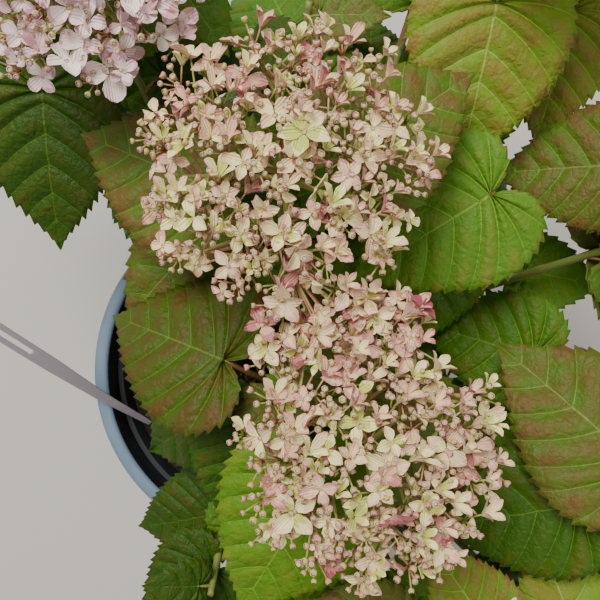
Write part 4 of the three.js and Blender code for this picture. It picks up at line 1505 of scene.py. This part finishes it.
def build_compost_body(series, edge):
    """The compost with a lumpy top that stays just inside its solid."""
    foot = POT_FLOOR + PART_GAP
    rings = 26
    profile = [(wall_radius(foot) - COMPOST_CLEARANCE, foot), (edge, COMPOST_TOP - 2.5)]
    profile += [(edge * (1 - i / rings) + 1.2, COMPOST_TOP - 0.8) for i in range(1, rings)]
    body = turned_piece("compost_body", profile, 110)
    lumps = [(ripple(series, 6, fastest), depth) for fastest, depth in COMPOST_LUMPS]
    for vertex in body.data.vertices:
        x, y, z = (value / METRES for value in vertex.co)
        if z > COMPOST_TOP - 2:
            dip = sum(depth * (wave(x, y) - 1.2) for wave, depth in lumps)
            vertex.co.z += dip * METRES
    body.data.materials.append(compost_material("dark compost", (0.07, 0.05, 0.04), (0.2, 0.15, 0.11)))
    claim(body, ["compost"])


def build_crumbs(series, edge):
    """Loose crumbs of three kinds all over the compost, each stretched and turned its own way."""
    crumbs = Joined()
    ball, ball_faces = small_ball()
    for _ in range(CRUMB_COUNT):
        radius = edge * math.sqrt(series.next()) * 0.97
        turn = series.next() * 2 * math.pi
        size = 0.7 + 1.9 * series.next() ** 2
        stretch = point(1 + series.next(), 0.7 + series.next() * 0.6, 0.5 + series.next() * 0.4)
        place = point(radius * math.cos(turn), radius * math.sin(turn), COMPOST_TOP - 1.4)
        spin = series.next() * math.pi
        flat = ball * stretch * size * (1 + 0.25 * np.sin(ball[:, :1] * 9 + spin))
        turned_x = flat[:, 0] * math.cos(spin) - flat[:, 1] * math.sin(spin)
        turned_y = flat[:, 0] * math.sin(spin) + flat[:, 1] * math.cos(spin)
        crumbs.add(np.stack([turned_x, turned_y, flat[:, 2]], 1) + place, ball_faces, int(series.next() * 3))
    materials = [compost_material(name, *tones) for name, tones in CRUMB_TONES.items()]
    crumbs.finish("compost_crumbs", materials, "compost")


def small_ball():
    """A 12-cornered ball as points and triangles. Its corners lie on three crossed golden rectangles."""
    golden = (1 + math.sqrt(5)) / 2
    corners = []
    for a, b in product((-1, 1), (-golden, golden)):
        corners += [(0, a, b), (a, b, 0), (b, 0, a)]
    points = np.array(corners, float)
    faces = []
    for i, j, k in combinations(range(len(points)), 3):
        a, b, c = points[[i, j, k]]
        if max(np.linalg.norm(b - a), np.linalg.norm(c - b), np.linalg.norm(a - c)) < 2.1:
            points_out = np.cross(b - a, c - a) @ (a + b + c) > 0
            faces.append((i, j, k) if points_out else (i, k, j))
    return points / np.linalg.norm(points[0]), np.array(faces)


def label_point(t):
    if t < LABEL_BEND_AT:
        return between(LABEL_FOOT, LABEL_RIM, t / LABEL_BEND_AT)
    return between(LABEL_RIM, LABEL_END, (t - LABEL_BEND_AT) / (1 - LABEL_BEND_AT))


def soft_label_point(t):
    """The label's line with its bend at the rim eased over a short run."""
    return sum(label_point(min(1, max(0, t + shift))) for shift in (-0.05, -0.025, 0, 0.025, 0.05)) / 5


def part_label(label):
    """Faces along the middle of the free end are taken out."""
    bpy.ops.object.mode_set(mode="EDIT")
    bpy.ops.mesh.select_all(action="DESELECT")
    bpy.ops.mesh.select_mode(type="FACE")
    bpy.ops.object.mode_set(mode="OBJECT")
    for face in label.data.polygons:
        face.select = face.center.x + 0.5 > LABEL_SLOT_START and abs(face.center.y) < 0.7 / LABEL_LANES
    bpy.ops.object.mode_set(mode="EDIT")
    bpy.ops.mesh.delete(type="FACE")
    bpy.ops.object.mode_set(mode="OBJECT")


def bend_label(label):
    """The flat grid is laid along the label's line, wider toward its free end and rounded there."""
    along = unit(point(*LABEL_END) - point(*LABEL_RIM))
    across = unit(point(-along[1], along[0], 0))
    up = np.cross(along, across)
    narrow, wide = LABEL_WIDTHS
    for vertex in label.data.vertices:
        t = vertex.co.x + 0.5
        width = narrow + (wide - narrow) * min(1, t / LABEL_FULL_WIDTH_AT)
        near_end = max(0, (t - LABEL_ROUNDING_START) / (1 - LABEL_ROUNDING_START))
        rounding = 1 - 0.25 * near_end**2
        place = soft_label_point(t) + across * vertex.co.y * width * rounding + up * LABEL_THICKNESS / 2
        vertex.co = Vector(place * METRES)


def build_label():
    """A grid is parted and bent as the label is, and then given its thickness and soft edges."""
    deselect()
    bpy.ops.mesh.primitive_grid_add(x_subdivisions=LABEL_STEPS, y_subdivisions=LABEL_LANES, size=1)
    label = bpy.context.object
    label.name = "plant_label"
    label.data.name = "plant_label"
    part_label(label)
    bend_label(label)
    wall = label.modifiers.new("thickness", "SOLIDIFY")
    wall.thickness = LABEL_THICKNESS * METRES * 0.85
    wall.offset = 0
    edge = label.modifiers.new("edge", "BEVEL")
    edge.width = 0.00018
    edge.segments = 2
    edge.limit_method = "ANGLE"
    bpy.context.view_layer.objects.active = label
    bpy.ops.object.modifier_apply(modifier="thickness")
    bpy.ops.object.modifier_apply(modifier="edge")
    bpy.ops.object.shade_smooth_by_angle(angle=math.radians(40))
    label.data.materials.append(label_material())
    claim(label, ["label"])


# Stage, lights and camera.
def build_stage():
    deselect()
    bpy.ops.mesh.primitive_plane_add(size=8, location=(0, 0, -0.0005))
    floor = bpy.context.object
    floor.name = "floor"
    material, _, _ = new_material("pale floor", (0.8, 0.79, 0.77), 0.9)
    floor.data.materials.append(material)


def build_lights():
    for name, (place, size, power, colour) in LIGHTS.items():
        light = bpy.data.lights.new(name, "AREA")
        light.size = size
        light.energy = power
        light.color = colour
        lamp = bpy.data.objects.new(name, light)
        lamp.location = place
        lamp.rotation_euler = (Vector(LIGHT_AIM) - Vector(place)).to_track_quat("-Z", "Y").to_euler()
        bpy.context.scene.collection.objects.link(lamp)
    world = bpy.data.worlds.new("soft sky")
    world.use_nodes = True
    sky = world.node_tree.nodes["Background"]
    sky.inputs["Color"].default_value = SKY_COLOUR
    sky.inputs["Strength"].default_value = SKY_STRENGTH
    bpy.context.scene.world = world


def build_camera():
    data = bpy.data.cameras.new("camera")
    data.sensor_fit = "AUTO"
    data.angle = math.radians(CAMERA_ANGLE)
    camera = bpy.data.objects.new("camera", data)
    camera.location = Vector(CAMERA_PLACE) * METRES
    bpy.context.scene.collection.objects.link(camera)
    bpy.context.scene.camera = camera


crowd = Crowd()
crowd.grow(range(FULL_PAIRS), SHOWN_LEAVES)
crowd.grow(range(FULL_PAIRS, len(PAIR_AT)), SHOWN_YOUNG, YOUNG_EASE)

build_pot()
build_compost()
build_label()
build_canes()
build_stems(crowd.leaves)
build_leaves(crowd.leaves)
build_flower_heads()
build_stage()
build_lights()
build_camera()
